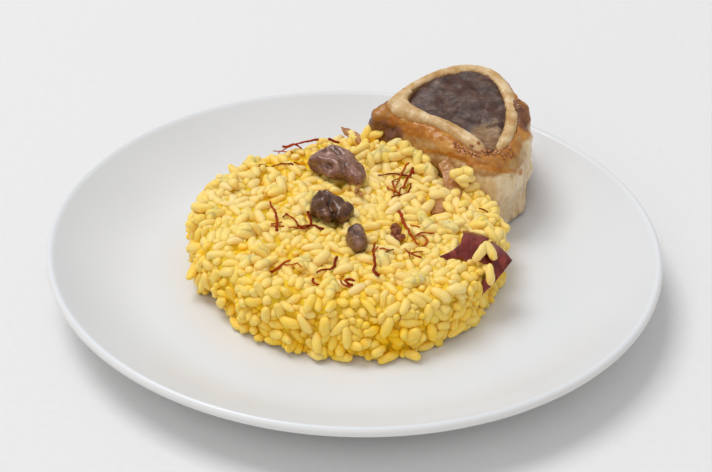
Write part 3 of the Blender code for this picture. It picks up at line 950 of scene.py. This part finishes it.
# Where rice is banked up against the shank, as a line in plan, and tufts of a few grains on the top, in mm
BANK = ((1.5, 62), (6, 58.8), (10, 55.4), (14.5, 51.6), (19, 48.6), (24, 45), (29, 41.4), (34, 37.6))
TUFTS = (
    (-46, 37), (-57, 22), (-28, 51), (-63, 2), (-36, 20), (-22, 12), (8, 44), (22, 30), (4, 26), (-4, 10),
    (30, -2),
    (12, -30), (-18, -34), (-44, -12), (40, -4), (47, 8), (-8, -46), (24, -44), (52, -2), (-34, -30))


BANK_SPACING_MM = 3.0
BANK_ROWS = 3
AWAY_FROM_SHANK = (-0.61, -0.79)
GRAINS_IN_A_TUFT = 6
TUFT_SPREAD_MM = 3.2
CLEAR_OF_THREADS_MM = 3.2


def make_bank(cream, shapes, group, rice, outline, threads):
    """Loose grains on the cream: the bank against the shank and the tufts."""
    surface = surface_of(cream)
    random = np.random.default_rng(17)
    away = np.array(AWAY_FROM_SHANK)
    spots = [
        np.array(spot) + away * (row * BANK_SPACING_MM - 0.6) + random.normal(0, 0.5, 2)
        for spot in smooth_route(BANK, BANK_SPACING_MM) for row in range(BANK_ROWS)]
    spots += [
        np.array(tuft) + random.normal(0, TUFT_SPREAD_MM, 2)
        for tuft in TUFTS for _ in range(GRAINS_IN_A_TUFT)]
    kept_clear = np.array([place for route, *_ in threads for place in route])
    places, turns, sizes = [], [], []
    for spot in spots:
        place, normal = drop_on(surface, *spot)
        aim = Vector(random.normal(size=3))
        to_thread = np.linalg.norm(kept_clear - spot, axis=1).min()
        if place is None or normal.z < 0.5 or to_thread < CLEAR_OF_THREADS_MM:
            continue
        aim -= normal * aim.dot(normal) * 0.75
        places.append(place + normal * random.uniform(1.0, 1.9) * MM)
        turns.append(grain_attitude(aim.normalized(), normal, random.normal(0, 0.5)))
        girth = GRAIN_RADIUS_MM * random.normal(1.0, 0.05)
        half = GRAIN_REACH_MM * random.normal(0.96, 0.08) + girth
        sizes.append(np.array((half, girth * 1.06, girth * 0.95)) * MM)
    count = len(places)
    # The bank's grains, on the heap's top, get pale tints too: the same painted sheen.
    bank = scattered(
        "rice_bank", places, turns, sizes, random.integers(0, len(shapes), count),
        random.normal(0.64, 0.11, count), group)
    # depth, clipped, gives the bank's grains the same painted gap shade.
    store(bank.data, "depth", depth_mm(points_of(bank.data), outline).clip(-2, 1.6))
    return dress(bank, rice, "rice", "risotto")


def depth_mm(points, outline):
    """How deep each point lies under the heap's loose outline."""
    depths = np.empty(len(points))
    for index, point in enumerate(points):
        place, normal, _, distance = outline.find_nearest(point)
        depths[index] = distance if (Vector(point) - place).dot(normal) < 0 else -distance
    return depths / MM - hollow_mm(points)


def make_cream(swollen):
    """The heap's body under its grains, with the cream that closes the gaps between them."""
    heart = fine_copy("heart", "risotto", 1.5, 3)
    sculpt(heart, lambda points: -HEART_DEPTH_MM - hollow_mm(points))
    corners = np.concatenate([points_of(swollen.data), points_of(heart.data)])
    first = len(swollen.data.vertices)
    faces = [tuple(face.vertices) for face in swollen.data.polygons]
    faces += [tuple(first + v for v in face.vertices) for face in heart.data.polygons]
    bpy.data.objects.remove(swollen)
    bpy.data.objects.remove(heart)
    mesh = bpy.data.meshes.new("rice_core")
    mesh.from_pydata([tuple(c) for c in corners], [], faces)
    cream = evened(shown("rice_core", mesh), 0.9, 2)
    sculpt(cream, lambda points: (
        -FILM_DROP_MM - 0.6 * (1 - rise(points[:, 2] / MM, 24, 29))
        + 0.2 * rise(-points[:, 0] / MM, 0, 35) * rise(points[:, 2] / MM, 22, 27)))
    cream = evened(cream, 0.9, 4)
    return dress(cream, saffron_cream(), "rice", "risotto")


# ---------------------------------------------------------------- shank


def round_the_bone(points):
    """Angle round the shank in degrees, 0 at +X, and depth under the cut face in mm, of each point."""
    depth = -((points - np.array(FACE_CENTRE)) @ np.array(FACING)) / MM
    level = (points[:, 2] - SHANK_FOOT.z) / (FACE_CENTRE.z - SHANK_FOOT.z)
    x = points[:, 0] - (SHANK_FOOT.x + (FACE_CENTRE.x - SHANK_FOOT.x) * level)
    y = points[:, 1] - (SHANK_FOOT.y + (FACE_CENTRE.y - SHANK_FOOT.y) * level)
    return np.degrees(np.arctan2(y, x)) % 360, depth


def turned_from(angle, direction):
    """How far an angle is from a direction, in degrees."""
    return np.abs((angle - direction + 180) % 360 - 180)


def on_face(points):
    """Places in the plane of the cut face, in mm: x to the right and y up its slope."""
    away = points - np.array(FACE_CENTRE)
    return away[:, 0] / MM, away @ np.array(SLOPE) / MM


LOWER_BRANCH = ((20, 57, 54), (32, 46, 50), (46, 37, 48))  # the bone's near side, as a line


def make_bone():
    bone = fine_copy("leg_bone", "shank_bone", 0.5, 1)

    def wear(points):
        _, depth = round_the_bone(points)
        top = rise(-depth, -4, -1)
        low_branch = near_path(points, LOWER_BRANCH, 5)
        return (
            0.5 + 0.3 * relief(points, 6) * (1 - top) + 0.12 * relief(points, 1.3) + 0.3 * low_branch
            - 0.35 * top * rise(relief(points, 6, seed=7), 0.1, 0.6))

    sculpt(bone, wear)
    points = points_of(bone.data)
    x, y = on_face(points)
    _, depth = round_the_bone(points)
    gap = bell(np.hypot((x - 13.0) / 1.2, (y + 20.5) / 1.6), 2.6) * rise(-depth, -8, -5)
    points -= np.array(FACING) * (5.0 * MM * gap)[:, None]
    place_points(bone.data, points)
    _, depth = round_the_bone(points)
    normals = normals_of(bone.data)
    middle = np.array([1.5, 2.0])
    inward = -(normals[:, 0] * (x - middle[0]) + normals @ np.array(SLOPE) * (y - middle[1]))
    inward = inward / np.maximum(np.hypot(x - middle[0], y - middle[1]), 1)
    stain = rise(inward, 0.1, 0.6) * (0.35 + 0.65 * rise(depth, 0.0, 1.2)) + rise(depth, 1.2, 3.5)
    store(bone.data, "stain", stain.clip(0, 1))
    return dress(bone, sawn_bone(), "bone", "shank_bone")


def make_marrow():
    marrow = fine_copy("bone_marrow", "shank_marrow", 0.6, 3)

    def sponge(points):
        _, depth = round_the_bone(points)
        x, y = on_face(points)
        top = rise(-depth, -7, -5.2)
        full = 0.8 + 2.4 * rise(y + 0.5 * x, -10, 8)
        return top * (
            full + 0.7 * relief(points, 5.0, (0.6, 1, 1)) + 0.16 * relief(points, 1.6)
            + 0.5 * relief(points, 9, seed=3)
            - 1.6 * bell(np.hypot(x - 15, y - 3), 1.8))

    sculpt(marrow, sponge)
    points = points_of(marrow.data)
    x, y = on_face(points)
    store(marrow.data, "pale", strongest(
        1.2 * bell(np.hypot((x - 11) / 1.2, y + 13), 7.5), 0.75 * near_path(points, LOWER_BRANCH, 4.5)))
    return dress(marrow, marrow_flesh(), "marrow", "shank_marrow")


# Marks on the collar, as lines through places in mm
UNDER_THE_RING = ((13, 54.5, 48.5), (24, 49.5, 47.5), (32, 46, 47), (40, 40.5, 45.5), (46, 36, 45.3))
ORANGE_BAND = ((37, 37, 43), (46, 31, 43), (59, 28, 41), (70, 36, 35))
ORANGE_BAND_CREASED_FROM = 51  # the crease under it starts here, along X
CREASE = ((31, 39, 41), (38, 36, 42), (46, 31, 42))
LEFT_SLOPE = ((15, 52, 43), (9, 57.5, 45.5), (6, 61, 48), (5, 62, 43), (3, 66, 38))
RIM_CRUST = ((68, 61, 54), (70.5, 56, 53.5), (72.5, 50.5, 51))
RIDGES = ((74, 46, 45), (76, 47, 30), (74, 46, 14))
# Where the collar stands out (or in, below zero): place, reach and height, all in mm
COLLAR_SWELLS_MM = (
    ((9, 57, 49), 5, 4.6), ((4, 61, 43), 5.5, 4.6), ((69, 60, 54), 4.0, 3.4), ((73, 56, 51), 4, 3.2),
    ((75, 48, 46), 3.5, 2.4), ((76, 46, 38), 5, 0.6), ((76, 46, 29), 6, 1.6), ((75.5, 43, 19), 8, -3.2),
    ((72, 38, 12), 8, -3.0), ((58.5, 27, 33), 10, 1.8), ((66, 30, 14), 7, -1.0), ((60, 88, 30), 14, 1.2),
    ((34, 84, 34), 12, -1.0),
)


SEAMS = (  # between the muscles, down the shank's far side
    ((24, 78, 46), (22, 80, 30), (26, 82, 12)), ((50, 90, 52), (46, 92, 34), (49, 92, 14)),
    ((74, 78, 52), (77, 76, 34), (76, 74, 14)))


def make_collar():
    collar = fine_copy("braised_collar", "shank_meat", 0.75, 3)
    band = smooth_route(ORANGE_BAND, 2.5)
    creased = [place for place in band if place[0] > ORANGE_BAND_CREASED_FROM]

    def fibres(points):
        angle, depth = round_the_bone(points)
        lower = rise(depth, 7, 14)
        upper = 1 - lower
        ridged = bell(turned_from(angle, 350), 60) + bell(turned_from(angle, 90), 60)
        pulled = relief(points, 3.4, (1, 1, 0.22))
        crusty = np.maximum(near_path(points, RIM_CRUST, 4.5), near_path(points, LEFT_SLOPE, 6))
        shift = (
            0.8 * relief(points, 9, seed=2) * lower
            + 0.5 * pulled * ridged.clip(0, 1)
            + 0.3 * relief(points, 2.2, (1, 1, 0.5)) * lower
            + 0.45 * relief(points, 1.7) * upper
            + 1.0 * relief(points, 3.2, seed=6) * crusty
            - 1.0 * near_path(points, CREASE, 1.3) - 0.8 * near_path(points, creased, 1.4)
            + 0.7 * near_path(points, UNDER_THE_RING[1:4], 3.0))
        for place, reach, height in COLLAR_SWELLS_MM:
            shift += height * near_place(points, place, reach)
        for seam in SEAMS:
            shift -= 1.3 * near_path(points + 1.5 * MM * relief(points, 9, seed=9)[:, None], seam, 2.2)
        return shift

    sculpt(collar, fibres)
    points = points_of(collar.data)
    angle, depth = round_the_bone(points)
    shoulder = depth + 1.2 * relief(points, 7, seed=4)
    far = rise(points[:, 1] / MM, 66, 76)
    away_side = bell(turned_from(angle, 90), 60)
    store(collar.data, "sear", strongest(
        1.25 * near_path(points, UNDER_THE_RING, 4.2),
        1.25 * near_path(points, band, 1.7),
        0.8 * near_path(points, ((37, 37, 43), (28, 42, 41)), 1.6),
        0.7 * (1 - rise(shoulder, 3, 8)),
        0.5 * far * rise(relief(points, 16, (1, 1, 0.6), seed=12), -0.1, 0.5)))
    store(collar.data, "crust", strongest(
        near_path(points, LEFT_SLOPE, 6.5),
        near_path(points, RIM_CRUST, 4.6),
        0.7 * bell(turned_from(angle, 150), 40) * (1 - rise(shoulder, 8, 18)),
        0.75 * near_place(points, (70, 37, 10), 4.5),
        0.7 * far * bell(points[:, 2] / MM - 9, 4),
        0.65 * near_place(points, (28, 43, 38), 4.0)))
    store(collar.data, "tendon", strongest(
        bell(turned_from(angle, 296), 34) * rise(shoulder, 7, 12),
        1.2 * near_place(points, (58.5, 27, 32), 11) * rise(shoulder, 5, 8),
        0.7 * near_path(points, RIDGES, 9),
        0.45 * away_side * rise(shoulder, 12, 18)))
    return dress(collar, braised_veal(), "veal", "shank_meat")


# ---------------------------------------------------------------- toppings

# For each lump: creases as pairs of ends in plan, with depth and width, all in mm
LUMP_CREASES = {
    "marrow_piece_1": (
        ((-21.5, 33.0), (-11.5, 28.5), 2.2, 1.3), ((-16, 45), (-8, 37), 1.2, 1.3),
        ((-2, 33), (3.5, 24), 1.3, 1.2),
        ((-7, 31), (-5, 24), 1.1, 1.1), ((-19, 39), (-14, 37.5), 0.9, 1.0), ((-1, 40), (2, 34), 0.8, 1.0)),
    "marrow_piece_2": (
        ((-11.0, -0.5), (-9.5, -4.0), 2.4, 1.4), ((-17, 3.5), (-13, 2.0), 1.4, 0.9),
        ((-9, -4), (-8.5, -9), 1.0, 1.0),
        ((-16.5, -1.5), (-12.5, -2.5), 1.5, 0.8), ((-15, 7), (-12.5, 4.5), 1.2, 0.8),
        ((-4, 4), (-6, 0), 0.8, 1.2)),
    "marrow_piece_3": (((-4.2, -15.5), (-2.2, -15.2), 1.2, 1.5), ((0.6, -21), (0.2, -15), 0.5, 0.9)),
}
LUMP_DARKNESS = {"marrow_piece_1": 0.1, "marrow_piece_2": 0.95, "marrow_piece_3": 0.62}
# For each lump: where its top stands higher, in plan, with reach and height, all in mm
LUMP_CROWNS = {
    "marrow_piece_1": ((-12, 42), 9, 1.6),
    "marrow_piece_2": ((-13.5, 4), 4.5, 3.4),
    "marrow_piece_3": ((1, -9), 4.5, 2.8),
}


def from_crease(points, start, end):
    """Distance in plan from each point to a crease, in mm."""
    return from_step(points[:, :2] / MM, start, end)


def make_lumps():
    flesh = lump_flesh()
    lumps = []
    for node, creases in LUMP_CREASES.items():
        lump = fine_copy(node.replace("piece", "lump"), node, 0.42, 3)

        def fold(points, creases=creases):
            shift = (
                0.4 + 0.5 * relief(points, 6, seed=2) + 0.5 * relief(points, 3.0)
                + 0.18 * relief(points, 1.3))
            for start, end, depth, width in creases:
                shift -= depth * bell(from_crease(points, start, end), width)
            return shift

        sculpt(lump, fold)
        points = points_of(lump.data)
        crown, reach, height = LUMP_CROWNS[node]
        x, y, z = points.T
        share = (z - z.min()) / (z.max() - z.min())
        near_crown = bell(np.hypot(x / MM - crown[0], y / MM - crown[1]), reach)
        points[:, 2] += (0.8 + height * near_crown) * share * MM
        place_points(lump.data, points)
        # Painted shade: the lumps are darkened along their creases, added to each lump's own darkness and a
        # random tone.
        painted_crease_shade = sum(bell(from_crease(points, start, end), width * 1.3) for start, end, _, width in creases)
        dark = LUMP_DARKNESS[node] + 0.6 * painted_crease_shade + 0.25 * relief(points, 4, seed=5)
        store(lump.data, "dark", dark.clip(0, 1))
        lumps.append(dress(lump, flesh, "marrow_lump", node))
    return lumps


# Thin pieces: node, centre in mm, turn in degrees, thickness in mm, bend, and outline in its own plane
VEAL_SCRAPS = {
    "veal_scrap_1": ("meat_bit_1", (-1.5, 58.4, 37.2), (14, 0, -52), 2.4, 0.03, (
        (-10, -0.2), (-5, 1.6), (1, 2.2), (7, 1.6), (9.6, -0.4), (6, -2.0), (-1, -1.4), (-6, -1.6))),
    "veal_scrap_2": ("meat_bit_2", (34.2, 12.2, 31.2), (12, -6, 8), 2.4, -0.05, (
        (-3.2, -3.4), (-4.3, 0.8), (-3.0, 4.2), (0.6, 5.2), (3.6, 3.4), (4.2, 0.0), (3.0, -3.8),
        (-0.4, -4.8))),
    "veal_scrap_3": ("meat_bit_3", (39.4, 25.4, 36.0), (10, 26, -76), 1.6, -0.02, (
        (-11.5, 2.4), (-5, 3.4), (2, 3.2), (8, 4.2), (12, 2.2), (11.4, -2.2), (5, -3.0), (-3, -2.4),
        (-9, -2.8))),
}
RED_PEELS = {
    "red_peel_1": ("red_slip_1", (45.9, -19.0, 34.6), (12, 6, 0), 1.3, -0.05, (
        (-1.8, 10.2), (2.6, 9.0), (8.4, 3.2), (5.0, -0.4), (3.0, -4.8), (0.8, -9.6),
        (-2.6, -7.4), (-6, -8.0), (-11.6, -8.9), (-11.2, -7.6), (-7, -5.4), (-3.8, -2.4), (-2.4, 3.6))),
    "red_peel_2": ("red_slip_2", (56.6, -26.1, 30.2), (26, 24, 0), 1.5, -0.04, (
        (-1.0, 12.2), (6.9, 3.0), (4.4, -2.6), (2.4, -8.0), (-0.6, -13.4), (-2.6, -9.0),
        (-1.8, -3.4), (-8.4, -2.9), (-6.4, 2.4), (-4.0, 8.0))),
}


def thin_piece(name, centre, turn, thickness, bend, outline):
    """A flat piece with the given corners, bent across its length and laid in place."""
    count = len(outline)
    half = thickness / 2
    corners = [(x * MM, y * MM, side * half * MM) for side in (-1, 1) for x, y in outline]
    faces = [tuple(reversed(range(count))), tuple(range(count, 2 * count))]
    faces += [(i, (i + 1) % count, count + (i + 1) % count, count + i) for i in range(count)]
    mesh = bpy.data.meshes.new(name)
    mesh.from_pydata(corners, [], faces)
    piece = shown(name, mesh)
    turn_outwards(piece)
    piece = evened(piece, 0.32, 5)
    points = points_of(piece.data)
    points[:, 2] += bend * points[:, 1] ** 2 / MM
    points[:, 2] += 0.4 * MM * relief(points, 9, seed=len(outline))
    to_world = Matrix.LocRotScale(
        Vector(centre) * MM, Euler([math.radians(angle) for angle in turn]), None)
    place_points(piece.data, points @ np.array(to_world.to_3x3()).T + np.array(to_world.translation))
    return piece


def make_scraps():
    flesh = pale_flesh()
    scraps = []
    for name, (node, *form) in VEAL_SCRAPS.items():
        scrap = thin_piece(name, *form)
        sculpt(scrap, lambda points: 0.35 * relief(points, 3.6) + 0.2 * relief(points, 1.4))
        scraps.append(dress(scrap, flesh, "pale_veal", node))
    return scraps


def make_peels():
    skin = red_peel()
    peels = []
    for name, (node, *form) in RED_PEELS.items():
        peel = thin_piece(name, *form)
        sculpt(peel, lambda points: 0.16 * relief(points, 4) + 0.06 * relief(points, 1.2))
        normals = normals_of(peel.data)
        store(peel.data, "rim", 1 - np.abs(normals[:, 2]))
        peels.append(dress(peel, skin, "red_skin", node))
    return peels


# Single saffron threads: start in plan in mm, heading in degrees, length in mm, how far it turns and sways in
# degrees, girth at the start and at the end, and how high its start is held up in mm
THREADS = (
    # at the cake's edge behind the first lump
    (-33, 52, 5, 9, -10, 15, 0.8, 0.5, 5), (-37, 50, -5, 9, 5, 20, 0.3, 0.4, 3),
    (-17, 54, 185, 20, 45, 5, 0.8, 0.3, 4),
    (-42, 32, 80, 19, -125, 0, 0.3, 0.5, 0), (-13, 56, -35, 5, 90, 0, 0.9, 0.8, 1),
    # right of the first lump
    (9, 31, -10, 15, 10, 25, 0.4, 0.6, 0), (22, 38, -120, 18, 30, 0, 0.7, 0.4, 0),
    (24, 35, -120, 14, 20, 5, 0.9, 0.5, 0),
    (24, 33, -90, 3, 0, 0, 0.7, 0.6, 0), (23, 27, -100, 16, -50, 10, 0.5, 0.4, 0),
    (15, 26, -80, 11, -10, 5, 0.6, 0.4, 0),
    (13, 22, -75, 8, 35, 0, 0.5, 0.6, 0), (20, 23, -130, 7, 50, 0, 0.4, 0.4, 0),
    # right of the third lump, beside the red-brown bits
    (18, 5, -85, 24, 25, 5, 1.0, 0.6, 0), (23, -15, 60, 11, -85, 0, 0.3, 0.5, 0),
    (25, -13, 10, 11, -165, 15, 0.4, 0.7, 0),
    (20, -21, -85, 11, 65, 0, 0.3, 0.6, 0),
    # below the third lump
    (8, -18, -100, 25, 30, 5, 0.5, 1.0, 0),
    # left of the second lump
    (-36, 8, -70, 20, -15, 5, 0.5, 0.9, 0), (-30, -3, 80, 4, -20, 0, 0.4, 0.5, 0),
    (-29, 1, -75, 12, 55, 15, 0.4, 0.6, 0),
    (-20, 2, -75, 18, -85, 15, 0.9, 0.3, 0), (-24, -7, 0, 12, -30, 5, 0.4, 0.8, 0),
    # at the lower left
    (-33, -40, 75, 11, -60, 0, 0.9, 0.5, 0), (-26, -32, 40, 8, 60, 0, 0.5, 0.3, 0),
    (-28, -35, -25, 9, -20, 5, 0.4, 0.3, 0),
    # along the front
    (-7, -28, -120, 15, -10, 20, 0.9, 0.4, 0), (-16, -43, -125, 6, 100, 0, 0.7, 0.4, 0),
    (-4, -39, -115, 13, 90, 0, 0.3, 0.5, 0), (0, -44, 130, 9, 250, 0, 0.7, 0.9, 0),
)
# Short fine threads: the middle of each group in plan in mm, the way they fan out in degrees, and how many
FINE_THREADS = ((-27, 41, -10, 1), (18, 28, -140, 1), (23, -3, -10, 1), (22, -25, -65, 2), (10, -25, 20, 3),
                (-34, -7, 20, 2), (52, 9, -50, 1))
THREAD_STEP_MM = 0.6
FINE_GIRTH = 0.4
THREAD_GIRTH = 0.7  # scales every girth
THREAD_HEIGHT_MM = 0.4  # a thread's middle above what it lies on
THREAD_SAG_MM = 0.2
BRIDGING_STEPS = 30


def thread_route(x, y, heading, length, curl, sway):
    """Places along a thread in plan, in mm. It turns by curl in all, sways once, and is a little kinked."""
    steps = max(3, round(length / THREAD_STEP_MM))
    route = [np.array((x, y), float)]
    for index in range(steps):
        share = (index + 0.5) / steps
        kink = 30 * noise.noise(Vector((0.37 * x + 0.5, 0.37 * y, share * length / 2.2)))
        way = math.radians(heading + curl * share + sway * math.sin(math.tau * share) + kink)
        route.append(route[-1] + np.array((math.cos(way), math.sin(way))) * length / steps)
    return route


def lay_threads():
    """The route, the girth at each end and the lift of every thread."""
    random = np.random.default_rng(29)
    threads = [(thread_route(*row[:6]), *row[6:]) for row in THREADS]
    for x, y, heading, count in FINE_THREADS:
        for _ in range(count):
            start = np.array((x, y)) + random.normal(0, 1.2, 2)
            way = heading + random.normal(0, 22)
            route = thread_route(*start, way, random.uniform(4, 6), random.normal(0, 15), 10)
            threads.append((route, FINE_GIRTH, FINE_GIRTH, 0))
    return threads


def drop_on(surface, x_mm, y_mm):
    """The highest place of a surface over a spot in plan."""
    place, normal, _, _ = surface.ray_cast(Vector((x_mm * MM, y_mm * MM, 0.09)), -UP)
    return place, normal


def make_threads(ground, threads):
    stigma = saffron_stigma()
    random = np.random.default_rng(23)
    points, edges, girths, tones = [], [], [], []
    for route, first, last, lift in threads:
        heights = []
        for x, y in route:
            place, _ = drop_on(ground, x, y)
            heights.append(place.z / MM if place else np.nan)
        heights = np.array(heights)
        heights = np.where(np.isnan(heights), np.nanmean(heights), heights)
        bridged = heights.copy()
        for _ in range(BRIDGING_STEPS):
            padded = np.pad(bridged, 1, mode="edge")
            bridged = np.maximum(heights - THREAD_SAG_MM, (padded[:-2] + padded[1:-1] + padded[2:]) / 3)
        tone = random.uniform(0.1, 0.8)
        bow = random.uniform(0.0, 0.4)
        tip = random.uniform(0.0, 0.8) * (random.random() < 0.4)
        for index, (x, y) in enumerate(route):
            share = index / (len(route) - 1)
            curl = 0.2 * noise.noise(Vector((x, y, 5)) / 2.6)
            height = bridged[index] + lift * (1 - share) + bow * math.sin(math.pi * share) + tip * share**4
            if index:
                edges.append((len(points) - 1, len(points)))
            points.append(((x - curl) * MM, (y + curl) * MM, (height + THREAD_HEIGHT_MM) * MM))
            girth = first + (last - first) * share
            girths.append(girth * THREAD_GIRTH * MM * (1 + 0.25 * noise.noise(Vector((x, y, 1)) / 0.9)))
            tones.append(tone + 0.4 * (1 - girth / 0.6))
    mesh = bpy.data.meshes.new("threads")
    mesh.from_pydata(points, edges, [])
    store(mesh, "girth", girths)
    store(mesh, "tone", np.clip(tones, 0, 1))
    strands = run_tree("saffron_threads", shown("thread_routes", mesh), strand_tree(stigma), Sides=7)
    return dress(strands, stigma, "red_skin")


def crumb_shape(name, seed):
    made = bpy.data.meshes.new(name)
    shape = shown(name, made)
    bm = bmesh.new()
    bmesh.ops.create_icosphere(bm, subdivisions=2, radius=1)
    for vertex in bm.verts:
        vertex.co *= 1 + 0.5 * noise.noise(vertex.co * 1.4 + Vector((seed, 0, 0)))
    bm.to_mesh(made)
    bm.free()
    made.shade_smooth()
    return shape


def make_crumbs(ground):
    """Crumbs of crust and marrow on the ledge under the bone's open end, and a few beside it."""
    crumbs = crust_crumb("crust crumbs", (0.20, 0.052, 0.010), (0.44, 0.16, 0.045), (0.72, 0.42, 0.21))
    random = np.random.default_rng(31)
    shapes = [crumb_shape("crumb_%d" % seed, seed * 7.3) for seed in range(3)]
    ledge = smooth_route(((41, 38), (50, 33), (60, 33), (67, 36)), 0.75)
    spots = [(x + random.normal(0, 0.7), y + random.normal(0, 1.1)) for x, y in ledge for _ in range(3)]
    spots += [(random.normal(57, 2.0), random.normal(35.0, 1.3)) for _ in range(34)]
    places, sizes, turns = [], [], []
    for x, y in spots:
        place, normal = drop_on(ground, x, y)
        if place is None:
            continue
        size = random.uniform(0.35, 1.0) ** 2 * 1.1 * MM
        places.append(place + normal * size * 0.25)
        sizes.append(np.array([1, random.uniform(0.6, 1), random.uniform(0.5, 0.9)]) * size)
        turns.append(random.uniform(0, math.tau, 3))
    count = len(places)
    piece = scattered(
        "crust_crumbs", places, turns, sizes, random.integers(0, 3, count), random.uniform(0, 1, count),
        scatter_tree("crumbs", shapes, crumbs))
    for shape in shapes:
        bpy.data.objects.remove(shape)
    return dress(piece, crumbs, "veal")


# Small bits among the grains: place in mm, length, width, height, heading in degrees
BROWN_BITS = (
    ((16.6, -11.3, 33.2), 2.9, 2.1, 2.2, 70), ((18.3, -14.2, 32.4), 2.6, 1.7, 1.7, 35),
    ((16.0, -8.4, 34.0), 2.0, 1.2, 1.4, 20), ((15.2, -14.6, 32.4), 2.6, 1.0, 1.3, 110),
)
PINK_BITS = (((0.4, 18.4, 35.2), 3.6, 1.0, 1.0, 75), ((1.8, 14.6, 35.0), 2.4, 0.8, 0.9, 100))


def make_bits(name, bits, material, slot):
    shapes = [crumb_shape("bit_%d" % seed, 40 + seed * 5.1) for seed in range(len(bits))]
    group = scatter_tree("bits", shapes, material)
    piece = scattered(
        name, [Vector(place) * MM for place, *_ in bits],
        [(0, 0, math.radians(heading)) for *_, heading in bits],
        [(long * MM, wide * MM, high * MM) for _, long, wide, high, _ in bits],
        range(len(bits)), [0.5] * len(bits), group)
    for shape in shapes:
        bpy.data.objects.remove(shape)
    return dress(piece, material, slot)


# ---------------------------------------------------------------- stage

CAMERA_PITCH = math.radians(33.14)
CAMERA_ROLL = math.radians(1.55)
CAMERA_DISTANCE = 0.6981
CAMERA_AIM = Vector((0.00031, -0.00111, 0.024))
FLOOR_HALF = 6.0


def make_camera():
    lens = bpy.data.cameras.new("camera")
    lens.lens = 85
    lens.sensor_width = 36
    lens.clip_start = 0.05
    camera = bpy.data.objects.new("camera", lens)
    scene.collection.objects.link(camera)
    ahead = Vector((0, math.cos(CAMERA_PITCH), -math.sin(CAMERA_PITCH)))
    turn = ahead.to_track_quat("-Z", "Y") @ Quaternion((0, 0, 1), CAMERA_ROLL)
    camera.matrix_world = Matrix.LocRotScale(CAMERA_AIM - ahead * CAMERA_DISTANCE, turn, None)
    scene.camera = camera


def make_floor():
    sheet = Finish("white paper", Roughness=0.9, Specular_IOR_Level=0.1)
    fleck = sheet.noise(3, 3)
    sheet.bump((fleck, 0.01))
    sheet.colour(sheet.ramp(fleck, (0.3, (0.785, 0.785, 0.785)), (0.7, (0.805, 0.805, 0.805))))
    mesh = bpy.data.meshes.new("floor")
    corners = [(FLOOR_HALF * x, FLOOR_HALF * y, 0) for x, y in ((-1, -1), (1, -1), (1, 1), (-1, 1))]
    mesh.from_pydata(corners, [], [(0, 1, 2, 3)])
    floor = bpy.data.objects.new("floor", mesh)
    scene.collection.objects.link(floor)
    mesh.materials.append(sheet.material)


def make_lamp(name, heading, height, distance, size, power):
    """A soft square lamp that faces the plate."""
    light = bpy.data.lights.new(name, "AREA")
    light.size = size
    light.energy = power
    lamp = bpy.data.objects.new(name, light)
    scene.collection.objects.link(lamp)
    way = Vector((math.cos(math.radians(heading)), math.sin(math.radians(heading)), 0))
    way = way * math.cos(math.radians(height)) + UP * math.sin(math.radians(height))
    lamp.matrix_world = Matrix.LocRotScale(way * distance, way.to_track_quat("Z", "Y"), None)


def make_lights():
    make_lamp("key", heading=155, height=68, distance=4.0, size=1.9, power=80)
    make_lamp("fill", heading=248, height=38, distance=4.0, size=3.0, power=20)
    world = bpy.data.worlds.new("studio")
    scene.world = world
    world.use_nodes = True
    world.node_tree.nodes["Background"].inputs["Color"].default_value = (1.0, 1.0, 1.0, 1.0)
    world.node_tree.nodes["Background"].inputs["Strength"].default_value = 0.54


scene.view_settings.view_transform = "Standard"
make_camera()
make_floor()
make_lights()
make_plate()
bone = make_bone()
marrow = make_marrow()
collar = make_collar()
lumps = make_lumps()
scraps = make_scraps()
peels = make_peels()
threads = lay_threads()
heap, grain_shapes = make_rice(threads)
make_threads(surface_of(*heap, *lumps, *peels), threads)
make_crumbs(surface_of(collar, bone, marrow))
red_brown = crust_crumb("red-brown bits", (0.07, 0.012, 0.001), (0.24, 0.050, 0.006), (0.48, 0.15, 0.025))
make_bits("brown_bits", BROWN_BITS, red_brown, "veal")
make_bits("pink_bits", PINK_BITS, pale_flesh(), "pale_veal")
for shape in grain_shapes:
    bpy.data.objects.remove(shape)
